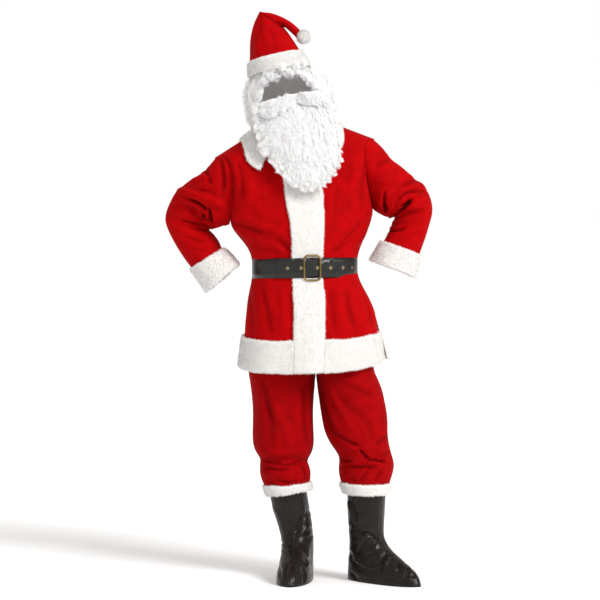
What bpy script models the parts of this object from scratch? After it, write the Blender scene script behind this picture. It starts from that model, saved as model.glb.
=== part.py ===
"""A santa suit as it is worn, with nobody in it: jacket, belt, trousers, boot covers, hat, wig and beard.

Metres, +Z up, the wearer faces -Y and the wearer's left hand is towards +X. Heights in the tables are
above the floor. The origin is the middle of the neck, where the wearer's shoulders carry the jacket.
Every cloth piece is a wall between an outer skin and an inner one, lofted through sections.
"""

import math

import bmesh
import bpy
import numpy as np
from mathutils import Matrix, Vector

# ---------------------------------------------------------------- driving sizes
NECK_HEIGHT = 1.460  # of the origin, above the floor
CLOTH = 0.0022  # velour, two layers at the seams
PLUSH = 0.0075  # long-pile trim, with its pile
CUFF = 0.0085  # plush on the sleeves
VINYL = 0.0016  # boot covers
BELT = 0.0026
SEAM = 0.0003  # between two pieces sewn together
LAID = 0.0004  # between a trim and the cloth it is sewn on

HEM = 0.7200  # at the side seams
UNDERARM = 1.203
TRIM_TOP = 0.818  # upper edge of the hem trim
BELT_LOW, BELT_HIGH = 1.004, 1.070
BELT_MIDDLE = (BELT_LOW + BELT_HIGH) / 2
BELT_PRESS = 0.0035  # how far the belt presses the plush
SHOULDER_TIP = (0.2685, 1.438)  # half width, height
SHOULDER_SLOPE = 0.50
NECK_HALF = 0.086
NECK_FRONT_DEG, NECK_BACK_DEG = 52.0, 30.0  # down the yoke from the shoulder seam
FRONT_TRIM_HALF = 0.049
TRIM_SPREAD = 0.22  # how much wider the front trim is on the chest
HEM_DIP = 0.034  # of the hem in front
CHEST_FRONT, CHEST_BACK = 0.150, 0.152
FORK = 0.690  # height where the trouser legs meet

RIGHT, LEFT = -1, 1  # the wearer's sides
FRONT, BACK = -1, 1


def table(columns, *rows):
    """Rows of sizes as one array for each named column."""
    return {name: np.array([row[i] for row in rows], float) for i, name in enumerate(columns.split())}


# Jacket at nominal heights: half width, depth before and behind the side seams.
JACKET = table(
    "height half front back",
    (0.700, 0.234, 0.176, 0.196),
    (0.760, 0.227, 0.170, 0.188),
    (0.820, 0.221, 0.163, 0.178),
    (0.880, 0.217, 0.155, 0.167),
    (0.935, 0.205, 0.146, 0.153),
    (0.980, 0.183, 0.134, 0.137),
    (1.004, 0.1745, 0.1285, 0.1285),
    (1.070, 0.1745, 0.1285, 0.1285),
    (1.097, 0.183, 0.137, 0.138),
    (1.137, 0.206, 0.147, 0.149),
    (1.170, 0.228, 0.150, 0.152),
    (1.203, 0.244, 0.150, 0.152),
)
# How the wearer stands: sideways shift, roll and turn of the level at each height.
STANCE = table(
    "height shift roll turn",
    (0.700, 0.016, 2.0, -2.0),
    (0.880, 0.018, 1.2, -1.0),
    (0.960, 0.006, 0.6, 2.0),
    (0.990, -0.001, 0.6, 4.0),
    (1.085, -0.001, 0.6, 4.0),
    (1.203, -0.011, 4.9, 6.0),
    (1.438, -0.035, 7.1, 6.0),
    (1.600, -0.045, 7.5, 6.0),
)
# Sleeves: the outline over the elbow and the one inside it, how far back, and half the depth.
SLEEVE_RIGHT = table(
    "at outer_x outer_z inner_x inner_z back depth",
    (0.00, -0.302, 1.405, -0.255, 1.182, -0.026, 0.075),
    (0.10, -0.335, 1.366, -0.274, 1.175, -0.014, 0.080),
    (0.18, -0.369, 1.344, -0.291, 1.169, 0.002, 0.082),
    (0.26, -0.404, 1.322, -0.305, 1.167, 0.022, 0.082),
    (0.34, -0.433, 1.299, -0.313, 1.166, 0.038, 0.081),
    (0.42, -0.453, 1.268, -0.317, 1.165, 0.049, 0.080),
    (0.49, -0.468, 1.236, -0.317, 1.163, 0.054, 0.079),
    (0.55, -0.476, 1.205, -0.315, 1.160, 0.054, 0.077),
    (0.62, -0.465, 1.169, -0.307, 1.152, 0.048, 0.074),
    (0.69, -0.446, 1.132, -0.293, 1.135, 0.038, 0.071),
    (0.76, -0.422, 1.090, -0.284, 1.119, 0.024, 0.068),
    (0.84, -0.389, 1.048, -0.280, 1.107, 0.007, 0.064),
    (0.92, -0.356, 1.003, -0.256, 1.083, -0.008, 0.062),
    (1.00, -0.326, 0.961, -0.226, 1.046, -0.018, 0.064),
)
SLEEVE_LEFT = table(
    "at outer_x outer_z inner_x inner_z back depth",
    (0.00, 0.232, 1.471, 0.233, 1.224, 0.025, 0.075),
    (0.10, 0.266, 1.439, 0.250, 1.216, 0.024, 0.080),
    (0.18, 0.289, 1.403, 0.265, 1.210, 0.027, 0.082),
    (0.26, 0.324, 1.381, 0.279, 1.205, 0.035, 0.082),
    (0.34, 0.353, 1.355, 0.290, 1.203, 0.043, 0.081),
    (0.42, 0.378, 1.335, 0.295, 1.203, 0.053, 0.080),
    (0.48, 0.405, 1.321, 0.298, 1.202, 0.059, 0.079),
    (0.54, 0.419, 1.287, 0.299, 1.200, 0.062, 0.077),
    (0.60, 0.434, 1.245, 0.295, 1.194, 0.061, 0.075),
    (0.66, 0.428, 1.210, 0.288, 1.182, 0.053, 0.073),
    (0.73, 0.416, 1.169, 0.281, 1.166, 0.038, 0.070),
    (0.80, 0.402, 1.128, 0.275, 1.151, 0.021, 0.067),
    (0.86, 0.389, 1.095, 0.266, 1.134, 0.006, 0.064),
    (0.93, 0.375, 1.052, 0.246, 1.102, -0.009, 0.063),
    (1.00, 0.362, 1.010, 0.222, 1.064, -0.019, 0.066),
)
CUFF_STARTS = {RIGHT: 0.865, LEFT: 0.885}
# Trousers above the fork: half width, depths before and behind the side seams.
HIPS = table(
    "height half front back",
    (0.640, 0.214, 0.122, 0.132),
    (0.700, 0.207, 0.125, 0.138),
    (0.760, 0.200, 0.128, 0.142),
    (0.840, 0.192, 0.127, 0.141),
    (0.920, 0.181, 0.121, 0.132),
    (0.975, 0.170, 0.121, 0.124),
    (1.010, 0.1685, 0.1225, 0.1225),
)
# Trouser legs: side outline, inseam outline, middle from front to back, and half the depth.
LEG_RIGHT = table(
    "at side_x side_z inner_x inner_z back depth",
    (0.00, -0.190, 0.690, 0.0358, 0.690, 0.004, 0.122),
    (0.10, -0.184, 0.652, 0.033, 0.648, 0.004, 0.117),
    (0.22, -0.177, 0.602, 0.028, 0.600, 0.004, 0.110),
    (0.34, -0.174, 0.552, 0.026, 0.548, 0.003, 0.104),
    (0.46, -0.176, 0.500, 0.028, 0.494, 0.003, 0.101),
    (0.57, -0.176, 0.454, 0.030, 0.448, 0.004, 0.100),
    (0.65, -0.166, 0.418, 0.022, 0.414, 0.005, 0.093),
    (0.70, -0.148, 0.399, 0.006, 0.391, 0.006, 0.080),
    (0.76, -0.152, 0.374, 0.017, 0.366, 0.006, 0.087),
    (0.84, -0.150, 0.339, 0.019, 0.338, 0.006, 0.086),
    (0.90, -0.136, 0.306, 0.015, 0.319, 0.006, 0.077),
    (1.00, -0.124, 0.276, 0.019, 0.298, 0.006, 0.073),
)
LEG_LEFT = table(
    "at side_x side_z inner_x inner_z back depth",
    (0.00, 0.231, 0.690, 0.036, 0.690, 0.004, 0.122),
    (0.10, 0.252, 0.650, 0.040, 0.646, 0.000, 0.117),
    (0.22, 0.266, 0.602, 0.047, 0.596, -0.006, 0.111),
    (0.34, 0.271, 0.553, 0.055, 0.543, -0.012, 0.105),
    (0.46, 0.276, 0.501, 0.065, 0.489, -0.018, 0.101),
    (0.54, 0.272, 0.470, 0.083, 0.450, -0.023, 0.097),
    (0.61, 0.287, 0.443, 0.104, 0.426, -0.027, 0.093),
    (0.66, 0.283, 0.420, 0.119, 0.403, -0.031, 0.085),
    (0.72, 0.298, 0.397, 0.112, 0.380, -0.034, 0.090),
    (0.81, 0.294, 0.358, 0.113, 0.352, -0.038, 0.089),
    (0.90, 0.280, 0.318, 0.121, 0.322, -0.042, 0.079),
    (1.00, 0.274, 0.288, 0.133, 0.291, -0.045, 0.074),
)
LEG_TRIM = 0.10  # the plush at the ankle, as a share of the leg
# Boot covers: the heel line and the shin line at each level, half width, and the leg's lean.
BOOT = table(
    "at back_y back_z front_y front_z half lean",
    (0.00, 0.066, 0.372, -0.066, 0.372, 0.0650, 1.00),
    (0.14, 0.066, 0.310, -0.065, 0.310, 0.0645, 0.86),
    (0.28, 0.064, 0.248, -0.064, 0.248, 0.0635, 0.62),
    (0.40, 0.059, 0.196, -0.062, 0.200, 0.0610, 0.36),
    (0.50, 0.054, 0.152, -0.060, 0.162, 0.0570, 0.15),
    (0.58, 0.053, 0.122, -0.068, 0.136, 0.0550, 0.04),
    (0.66, 0.058, 0.095, -0.094, 0.110, 0.0540, 0.0),
    (0.74, 0.064, 0.068, -0.136, 0.088, 0.0540, 0.0),
    (0.82, 0.068, 0.045, -0.176, 0.066, 0.0555, 0.0),
    (0.89, 0.070, 0.027, -0.208, 0.047, 0.0575, 0.0),
    (0.95, 0.071, 0.012, -0.230, 0.027, 0.0590, 0.0),
    (1.00, 0.071, 0.000, -0.237, 0.000, 0.0590, 0.0),
)
# Where each ankle stands, how far its toes turn out, and where the top of its shaft leans to.
FEET = {
    RIGHT: {"ankle": (-0.022, 0.006), "turn": -8.0, "top": (-0.0458, 0.000)},
    LEFT: {"ankle": (0.200, -0.056), "turn": 47.0, "top": (0.0065, 0.012)},
}
# Hat: the outline on the wearer's right and over the fold, the one below it, and the depth.
HAT = table(
    "at high_x high_z low_x low_z back depth",
    (0.00, -0.184, 1.678, 0.011, 1.714, -0.004, 0.108),
    (0.10, -0.186, 1.716, -0.011, 1.758, 0.000, 0.102),
    (0.22, -0.188, 1.758, -0.030, 1.788, 0.003, 0.094),
    (0.34, -0.186, 1.800, -0.048, 1.813, 0.004, 0.083),
    (0.45, -0.177, 1.838, -0.060, 1.829, 0.003, 0.070),
    (0.54, -0.165, 1.872, -0.069, 1.838, 0.001, 0.056),
    (0.61, -0.154, 1.894, -0.0735, 1.8435, -0.002, 0.043),
    (0.68, -0.118, 1.888, -0.0725, 1.8430, -0.006, 0.034),
    (0.75, -0.088, 1.878, -0.068, 1.8405, -0.010, 0.029),
    (0.82, -0.063, 1.868, -0.060, 1.834, -0.014, 0.026),
    (0.89, -0.043, 1.856, -0.050, 1.824, -0.018, 0.023),
    (0.95, -0.028, 1.845, -0.040, 1.815, -0.020, 0.019),
    (1.00, -0.016, 1.830, -0.030, 1.805, -0.022, 0.012),
)
HAT_TRIM_TO = 0.11
POMPOM = {"middle": (-0.0049, -0.024, 1.8070), "radius": 0.021}
# The head's own axes lean to the wearer's right, and the hair is measured along them from this middle.
HEAD = {"middle": (-0.062, 0.0, 1.625), "roll": 12.0}
# Wig: sections of its inner face, its thickness, and where it ends beside the face.
WIG = table(
    "height middle half front back thick edge",
    (-0.120, 0.000, 0.110, 0.088, 0.104, 0.026, 80),
    (-0.085, 0.000, 0.115, 0.091, 0.108, 0.030, 74),
    (-0.050, 0.001, 0.118, 0.094, 0.112, 0.032, 62),
    (-0.028, 0.001, 0.118, 0.095, 0.112, 0.032, 51),
    (-0.006, 0.001, 0.116, 0.096, 0.112, 0.031, 42),
    (0.016, -0.001, 0.111, 0.096, 0.110, 0.029, 35),
    (0.036, -0.004, 0.103, 0.096, 0.107, 0.025, 34),
    (0.050, -0.006, 0.095, 0.094, 0.100, 0.018, 34),
    (0.062, -0.008, 0.084, 0.092, 0.093, 0.010, 34),
    (0.072, -0.009, 0.080, 0.092, 0.0912, 0.009, 34),
    (0.104, -0.014, 0.073, 0.088, 0.0857, 0.008, 34),
)
# Beard: how far it reaches to each side, where its inner face hangs in the middle and at the edges.
BEARD = table(
    "height right left front side thick",
    (-0.340, 0.000, 0.032, -0.176, -0.174, 0.010),
    (-0.322, 0.028, 0.064, -0.175, -0.170, 0.016),
    (-0.296, 0.048, 0.092, -0.174, -0.163, 0.020),
    (-0.260, 0.066, 0.114, -0.172, -0.153, 0.022),
    (-0.214, 0.088, 0.118, -0.168, -0.141, 0.024),
    (-0.160, 0.102, 0.122, -0.158, -0.122, 0.026),
    (-0.105, 0.110, 0.120, -0.144, -0.102, 0.026),
    (-0.060, 0.106, 0.112, -0.128, -0.084, 0.024),
    (-0.022, 0.090, 0.0985, -0.114, -0.0721, 0.020),
)
MOUTH = {"middle": 0.020, "half": 0.026, "dip": 0.036}
MOUSTACHE = table(
    "across height half thick",
    (-1.00, -0.064, 0.006, 0.004),
    (-0.70, -0.052, 0.017, 0.013),
    (-0.35, -0.0395, 0.017, 0.016),
    (0.00, -0.0315, 0.011, 0.013),
    (0.35, -0.0395, 0.017, 0.016),
    (0.70, -0.052, 0.017, 0.013),
    (1.00, -0.064, 0.006, 0.004),
)

# ---------------------------------------------------------------- small tools


def smooth(x, xs, ys):
    """The value at x of a smooth curve through the points, with no overshoot between them."""
    step = np.diff(xs)
    slope = np.diff(ys) / step
    level = slope[:-1] * slope[1:] <= 0
    before, after = np.where(level, 1.0, slope[:-1]), np.where(level, 1.0, slope[1:])
    weight_a, weight_b = 2 * step[1:] + step[:-1], step[1:] + 2 * step[:-1]
    middle = (weight_a + weight_b) / (weight_a / before + weight_b / after)
    tangent = np.concatenate([slope[:1], np.where(level, 0.0, middle), slope[-1:]])
    i = np.clip(np.searchsorted(xs, x, side="right") - 1, 0, len(xs) - 2)
    t = (x - xs[i]) / step[i]
    rise = step[i] * (tangent[i] * t * (1 - t) ** 2 - tangent[i + 1] * t * t * (1 - t))
    return ys[i] * (1 + 2 * t) * (1 - t) ** 2 + ys[i + 1] * t * t * (3 - 2 * t) + rise


def at(sections, column, x, key="at"):
    """One column of a table at x, along its key column."""
    return smooth(np.asarray(x, float), sections[key], sections[column])


def power(base, exponent):
    """A power that keeps the sign, for rounded sections."""
    return np.sign(base) * np.abs(base) ** exponent


def fade(x, start, end):
    """0 at start, 1 at end, and smooth between."""
    t = np.clip((x - start) / (end - start), 0.0, 1.0)
    return t * t * (3 - 2 * t)


def turn(degrees, axis):
    return np.array(Matrix.Rotation(math.radians(degrees), 3, axis))


def creases(across, along, folds):
    """Depth of all the folds at a place: each is a soft trough (below 0) or ridge along a line."""
    depth = np.zeros(np.broadcast(across, along).shape)
    columns = (folds[name] for name in ("u0", "v0", "u1", "v1", "half", "high"))
    for u0, v0, u1, v1, half, high in zip(*columns):
        run = np.array([u1 - u0, v1 - v0])
        share = np.clip(((across - u0) * run[0] + (along - v0) * run[1]) / (run @ run), 0, 1)
        away = np.hypot(across - u0 - share * run[0], along - v0 - share * run[1])
        depth += high * np.exp(-((away / half) ** 2))
    return depth


# ---------------------------------------------------------------- materials and meshes

MATERIALS = {
    "velour_red": ((0.62, 0.010, 0.012), 0.75, 0.0),
    "plush_white": ((0.90, 0.885, 0.86), 0.90, 0.0),
    "belt_black": ((0.016, 0.015, 0.014), 0.38, 0.0),
    "brass": ((0.62, 0.43, 0.13), 0.30, 1.0),
    "vinyl_black": ((0.018, 0.016, 0.015), 0.32, 0.0),
    "hair_white": ((0.90, 0.89, 0.875), 0.60, 0.0),
}


def material(name):
    if name not in bpy.data.materials:
        colour, roughness, metallic = MATERIALS[name]
        made = bpy.data.materials.new(name)
        made.use_nodes = True
        shader = made.node_tree.nodes["Principled BSDF"]
        shader.inputs["Base Color"].default_value = (*colour, 1)
        shader.inputs["Roughness"].default_value = roughness
        shader.inputs["Metallic"].default_value = metallic
    return bpy.data.materials[name]


def add_object(name, mesh, finish):
    mesh.materials.append(material(finish))
    mesh.shade_smooth()
    mesh.set_sharp_from_angle(angle=math.radians(50))
    made = bpy.data.objects.new(name, mesh)
    SUIT.objects.link(made)
    return made


def unit(vectors):
    return vectors / np.maximum(np.linalg.norm(vectors, axis=-1, keepdims=True), 1e-9)


def wall(name, skin, columns, rows, inner, outer, finish, loop=False, capped=False):
    """A wall from inner to outer metres off a skin. skin(u, v) gives points and their outward directions,
    columns are the values of u and rows those of v. loop joins the last column to the first, and capped
    closes both skins at the last row. All faces are split along the same diagonal, so that a piece laid on
    another follows its facets."""
    us, vs = np.meshgrid(np.asarray(columns, float), np.asarray(rows, float))
    points, outward = skin(us, vs)
    off = [np.asarray(d(us, vs) if callable(d) else np.full(us.shape, d)) for d in (outer, inner)]
    high, wide = us.shape
    corners = np.concatenate([(points + outward * distance[..., None]).reshape(-1, 3) for distance in off])
    corners -= np.array([0, 0, NECK_HEIGHT])
    across = wide if loop else wide - 1

    def index(layer, row, column):
        return layer * high * wide + row * wide + column % wide

    faces = []
    for row in range(high - 1):
        for column in range(across):
            one, two = (row, column), (row + 1, column + 1)
            for third in ((row, column + 1), (row + 1, column)):
                faces.append([index(0, *one), index(0, *third), index(0, *two)])
                faces.append([index(1, *one), index(1, *two), index(1, *third)])
    if capped:
        faces += [[index(layer, high - 1, column) for column in range(wide)] for layer in (0, 1)]
    for column in range(across):
        for row in (0,) if capped else (0, high - 1):
            pair = [(row, column), (row, column + 1)]
            faces.append([index(0, *p) for p in pair] + [index(1, *p) for p in reversed(pair)])
    for row in range(0 if loop else high - 1):
        for column in (0, wide - 1):
            pair = [(row, column), (row + 1, column)]
            faces.append([index(0, *p) for p in pair] + [index(1, *p) for p in reversed(pair)])
    mesh = bpy.data.meshes.new(name)
    mesh.from_pydata([tuple(c) for c in corners], [], faces)
    shape = bmesh.new()
    shape.from_mesh(mesh)
    bmesh.ops.recalc_face_normals(shape, faces=shape.faces)
    shape.to_mesh(mesh)
    shape.free()
    return add_object(name, mesh, finish)


# ---------------------------------------------------------------- jacket

FRONT_FIXED = {"at": (0.0, 0.1, 0.2, 0.3, 0.4), "width": (0.0, 0.025, FRONT_TRIM_HALF, 0.070, 0.088)}
BACK_FIXED = {"at": (0.0, 0.15, 0.3), "width": (0.0, 0.045, 0.088)}
FRONT_COLUMNS = (0.0, 0.1, 0.2, 0.3, 0.4, 0.52, 0.64, 0.76, 0.88, 1.0)
BACK_COLUMNS = (0.0, 0.15, 0.3, 0.44, 0.58, 0.72, 0.86, 1.0)
LOWER_HEIGHTS = (HEM + 0.006, 0.765, TRIM_TOP, 0.880, 0.940, BELT_LOW, BELT_HIGH, 1.110, 1.155, UNDERARM)
UPPER_SHARES = [k / 8 for k in range(1, 9)]
# Columns run the same way round the body on all the panels, from the wearer's right across the front.
FRONT_SIDES = {RIGHT: [-c for c in reversed(FRONT_COLUMNS)], LEFT: list(FRONT_COLUMNS)}
BACK_WIDE = list(reversed(BACK_COLUMNS)) + [-c for c in BACK_COLUMNS[1:]]
VENT_KICK, VENT_EASE = 0.026, 0.006  # how far the back stands out at the side vents
TRIM_EDGE = 0.2  # the front column where the plush trim ends
ARM_ROW = 0.6  # v of the underarm, on every jacket panel
ROUND = 2.3  # how square the body's sections are
YOKE = 1.15  # how flat the yoke is from the chest to the shoulder seam
ARM_BULGE = 0.078  # how deep the armhole is


def row_of(height):
    return ARM_ROW * (height - HEM) / (UNDERARM - HEM)


LOWER_ROWS = [row_of(h) for h in LOWER_HEIGHTS]
JACKET_ROWS = LOWER_ROWS + [ARM_ROW + (1 - ARM_ROW) * share for share in UPPER_SHARES]

# Folds of the body, across (metres from the middle, wearer's left positive) and up (height).
FRONT_FOLDS = table(
    "u0 v0 u1 v1 half high",
    (-0.200, 1.190, -0.060, 1.095, 0.024, -0.007),
    (-0.215, 1.150, -0.120, 1.090, 0.018, 0.006),
    (0.205, 1.180, 0.110, 1.095, 0.024, -0.006),
    (-0.185, 1.240, -0.195, 1.370, 0.022, -0.007),
    (0.190, 1.250, 0.195, 1.370, 0.022, -0.005),
)
BACK_FOLDS = table(
    "u0 v0 u1 v1 half high",
    (-0.150, 1.300, -0.040, 1.110, 0.030, -0.006),
    (0.150, 1.330, 0.050, 1.110, 0.030, -0.006),
    (-0.020, 1.180, 0.010, 1.090, 0.024, 0.005),
)
FLUTES = table("waves high start", (5, 0.0055, 0.4), (9, 0.0030, 1.7))


def across_body(column, half, fixed, height):
    """Sideways distance of a column: at fixed widths near the middle, then shared out by angle."""
    wider = 1 + TRIM_SPREAD * fade(height, 1.08, 1.30)
    last_at, last = fixed["at"][-1], fixed["width"][-1] * wider
    start = np.arcsin(np.clip(last / half, 0, 1) ** (ROUND / 2))
    angle = start + (math.pi / 2 - start) * (column - last_at) / (1 - last_at)
    outer = half * (1 - np.abs(1 - power(np.sin(np.clip(angle, 0, math.pi)), 2 / ROUND)))
    near = np.interp(np.abs(column), fixed["at"], fixed["width"]) * wider
    return np.where(column < last_at, near * np.sign(column + 1e-12), outer), np.cos(angle)


def body_depth(share, cosine):
    """The section's depth, 1 in the middle and 0 at the side seam, below 0 past it."""
    rounded = (1 - np.clip(share, 0, 0.9999) ** ROUND) ** (1 / ROUND)
    return np.where(share < 0.9, rounded, power(cosine, 2 / ROUND))


def stand(points, outward):
    """The jacket as cut, put on the wearer: each level shifts sideways, rolls and turns."""
    height = points[..., 2]
    roll, twist = (np.radians(at(STANCE, column, height, "height")) for column in ("roll", "turn"))
    placed = []
    for vector in (points, outward):
        x, y, z = vector[..., 0], vector[..., 1], vector[..., 2]
        x, y = x * np.cos(twist) - y * np.sin(twist), x * np.sin(twist) + y * np.cos(twist)
        placed.append(np.stack([x * np.cos(roll), y, z + x * np.sin(roll)], axis=-1))
    placed[0][..., 0] += at(STANCE, "shift", height, "height")
    return placed[0], unit(placed[1])


def neck_limit(x):
    """How far up the yoke a panel goes at x, as angles by face: to the neckline or the shoulder seam."""
    inside = np.sqrt(np.clip(1 - (x / NECK_HALF) ** 2, 0, 1))
    return {FRONT: 90 - NECK_FRONT_DEG * inside, BACK: 90 - NECK_BACK_DEG * inside}


def yoke(x, share, cosine, angle, face):
    """Depth and height on the upper body. angle is 0 at the underarm and 90 at the shoulder seam."""
    rise, level = power(np.sin(np.radians(angle)), YOKE), power(np.cos(np.radians(angle)), YOKE)
    chest = CHEST_FRONT if face == FRONT else CHEST_BACK
    armhole = ARM_BULGE * np.sin(np.radians(2 * angle)) * np.abs(share) ** 3
    ridge = SHOULDER_TIP[1] + SHOULDER_SLOPE * (SHOULDER_TIP[0] - np.abs(x))
    return chest * body_depth(share, cosine) * level + armhole, UNDERARM + (ridge - UNDERARM) * rise


def body_outward(side, face, share, cosine, half, depth, angle):
    """Which way the cloth faces: sideways and ahead round the section, and up on the shoulders."""
    ahead = power(body_depth(share, cosine), ROUND - 1) / depth
    around = unit(np.stack([np.abs(share) ** (ROUND - 1) / half, ahead], axis=-1))
    rise, level = np.sin(np.radians(angle)), np.cos(np.radians(angle))
    ahead = around[..., 1] * level + 1.2 * np.sin(np.radians(2 * angle)) * np.abs(share) ** 3
    sideways = around[..., 0] * level + SHOULDER_SLOPE * rise * np.clip(4 * np.abs(share), 0, 1)
    return unit(np.stack([side * sideways, face * ahead, rise], axis=-1))


def yoke_half(angle):
    """Half width of the upper body between the underarm and the shoulder tip."""
    return 0.244 - 0.030 * np.sin(np.radians(2 * angle)) + (SHOULDER_TIP[0] - 0.244) * (angle / 90) ** 2


def jacket_body(side, face):
    """The skin of one quarter of the jacket: u from the middle to the side seam, v from the hem up."""
    fixed = FRONT_FIXED if face == FRONT else BACK_FIXED
    depth_of = "front" if face == FRONT else "back"

    def skirt(u, v):
        """The body below the underarm."""
        height = np.minimum(HEM + (UNDERARM - HEM) * v / ARM_ROW, UNDERARM)
        half, deep = at(JACKET, "half", height, "height"), at(JACKET, depth_of, height, "height")
        x, cosine = across_body(u, half, fixed, height)
        share = x / half
        rounded = body_depth(share, cosine)
        outward = body_outward(side, face, share, cosine, half, deep, np.zeros_like(u))
        around = np.arctan2(x * side, -face * deep * rounded)
        flutes = zip(FLUTES["waves"], FLUTES["high"], FLUTES["start"])
        waves = sum(high * np.sin(number * around + start) for number, high, start in flutes)
        flare = fade(height, 0.99, HEM) * waves
        kick = VENT_KICK if (side, face) == (LEFT, BACK) else VENT_EASE
        kick = kick * fade(u, 0.6, 1.0) * fade(height, 0.885, HEM)
        outward = unit(outward + np.stack([0 * kick, face * 45 * kick, 0 * kick], axis=-1))
        folds = creases(x * side, height, FRONT_FOLDS if face == FRONT else BACK_FOLDS)
        deep = deep * rounded + folds * fade(np.abs(height - BELT_MIDDLE), 0.040, 0.075) * rounded
        if face == FRONT:
            height = height - HEM_DIP * np.clip((0.95 - height) / (0.95 - HEM), 0, 1) * rounded
        across = side * (x + kick + flare * share + SEAM / 2)
        ahead = face * (deep + flare * rounded + 0.4 * kick + SEAM / 2)
        return np.stack([across, ahead, height], axis=-1), outward

    def upper(u, v):
        """The body above it, up to the neckline and the shoulder seam."""
        rise = np.clip((v - ARM_ROW) / (1 - ARM_ROW), 0, 1)
        angle = rise * neck_limit(across_body(u, 0.25, fixed, 1.5)[0])[face]
        half = yoke_half(angle)
        x, cosine = across_body(u, half, fixed, UNDERARM + (SHOULDER_TIP[1] - UNDERARM) * rise)
        share = x / half
        y, z = yoke(x, share, cosine, angle, face)
        folds = creases(x * side, z, FRONT_FOLDS if face == FRONT else BACK_FOLDS) * body_depth(share, cosine)
        outward = body_outward(side, face, share, cosine, half, CHEST_FRONT, angle)
        return np.stack([side * (x + SEAM / 2), face * (y + folds + SEAM / 2), z], axis=-1), outward

    def skin(u, v):
        above = (v > ARM_ROW)[..., None]
        return stand(*(np.where(above, high, low) for high, low in zip(upper(u, v), skirt(u, v))))

    return skin


def choose(masks, skins, u_values, v):
    """Points and outward directions from the skin whose mask is true."""
    points = outward = np.zeros((*v.shape, 3))
    for mask, skin, u in zip(masks, skins, u_values):
        found = skin(u, v)
        points, outward = (np.where(mask[..., None], new, old) for new, old in zip(found, (points, outward)))
    return points, outward


def panel_skin(face, side=0):
    """One skin over a side, or over both: u is below 0 on the wearer's right."""
    halves = [jacket_body(each, face) for each in (RIGHT, LEFT)]

    def skin(u, v):
        on_right = (u < 0) | (side == RIGHT)
        return choose((on_right, ~on_right), halves, (np.abs(u), np.abs(u)), v)

    return skin


def armhole(turns):
    """The loop that a sleeve is sewn to, as cut: 0 at the underarm, 0.25 in front, 0.5 at the shoulder."""
    front = turns <= 0.5
    angle = 180 * np.where(front, turns, 1 - turns)
    half = yoke_half(angle)
    depth, z = yoke(half, np.ones_like(half), np.zeros_like(half), angle, FRONT)
    y = np.where(front, -1, 1) * (depth + SEAM / 2)
    return half, y, z


def make_jacket_body():
    for side, name in ((RIGHT, "jacket_front_right"), (LEFT, "jacket_front_left")):
        wall(name, panel_skin(FRONT, side), FRONT_SIDES[side], JACKET_ROWS, -CLOTH, 0, "velour_red")
    wall("jacket_back", panel_skin(BACK), BACK_WIDE, JACKET_ROWS, -CLOTH, 0, "velour_red")


def front_trim_thickness(u, v):
    """Plush, pressed flat where the belt goes round it."""
    height = HEM + (UNDERARM - HEM) * v / ARM_ROW
    return LAID + PLUSH - BELT_PRESS * fade(np.abs(height - BELT_MIDDLE), 0.060, 0.034)


def make_jacket_trims():
    hem_rows = LOWER_ROWS[0:3]
    edge = TRIM_EDGE + SEAM * (FRONT_COLUMNS[3] - TRIM_EDGE) / (FRONT_FIXED["width"][3] - FRONT_TRIM_HALF)
    for side, name in ((RIGHT, "hem_trim_front_right"), (LEFT, "hem_trim_front_left")):
        columns = sorted([side * edge] + [c for c in FRONT_SIDES[side] if abs(c) > TRIM_EDGE])
        wall(name, panel_skin(FRONT, side), columns, hem_rows, LAID, LAID + PLUSH, "plush_white")
    wall("hem_trim_back", panel_skin(BACK), BACK_WIDE, hem_rows, LAID, LAID + PLUSH, "plush_white")
    columns = FRONT_SIDES[RIGHT][-3:] + FRONT_SIDES[LEFT][1:3]
    rows = [row for row in JACKET_ROWS if row < 0.96]
    wall("front_trim", panel_skin(FRONT), columns, rows, LAID, front_trim_thickness, "plush_white")


# ---------------------------------------------------------------- sleeves and cuffs

SLEEVE_COLUMNS = [0.0] + [s / 2 for s in UPPER_SHARES] + [1 - s / 2 for s in reversed(UPPER_SHARES[:-1])]
SLEEVE_FOLDS = {
    RIGHT: table(
        "u0 v0 u1 v1 half high",
        (0.03, 0.44, 0.24, 0.34, 0.035, -0.012),
        (0.05, 0.53, 0.30, 0.55, 0.035, -0.012),
        (0.20, 0.24, 0.42, 0.36, 0.040, 0.007),
        (0.95, 0.45, 0.75, 0.38, 0.040, -0.010),
        (0.95, 0.54, 0.70, 0.57, 0.040, -0.010),
        (0.10, 0.10, 0.30, 0.16, 0.035, -0.006),
    ),
    LEFT: table(
        "u0 v0 u1 v1 half high",
        (0.03, 0.46, 0.26, 0.44, 0.035, -0.013),
        (0.02, 0.38, 0.22, 0.28, 0.035, -0.010),
        (0.22, 0.54, 0.36, 0.52, 0.035, 0.007),
        (0.95, 0.46, 0.74, 0.40, 0.040, -0.010),
        (0.95, 0.56, 0.72, 0.60, 0.040, -0.010),
        (0.04, 0.68, 0.22, 0.70, 0.035, -0.006),
    ),
}


def tube_middle(sections, along, names):
    """The middle of a tube's ring, and half the way across it from the second outline to the first."""
    far, near = (
        np.stack([at(sections, column, along) for column in (name + "_x", "back", name + "_z")], axis=-1)
        for name in names
    )
    return (far + near) / 2, (far - near) / 2


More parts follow.
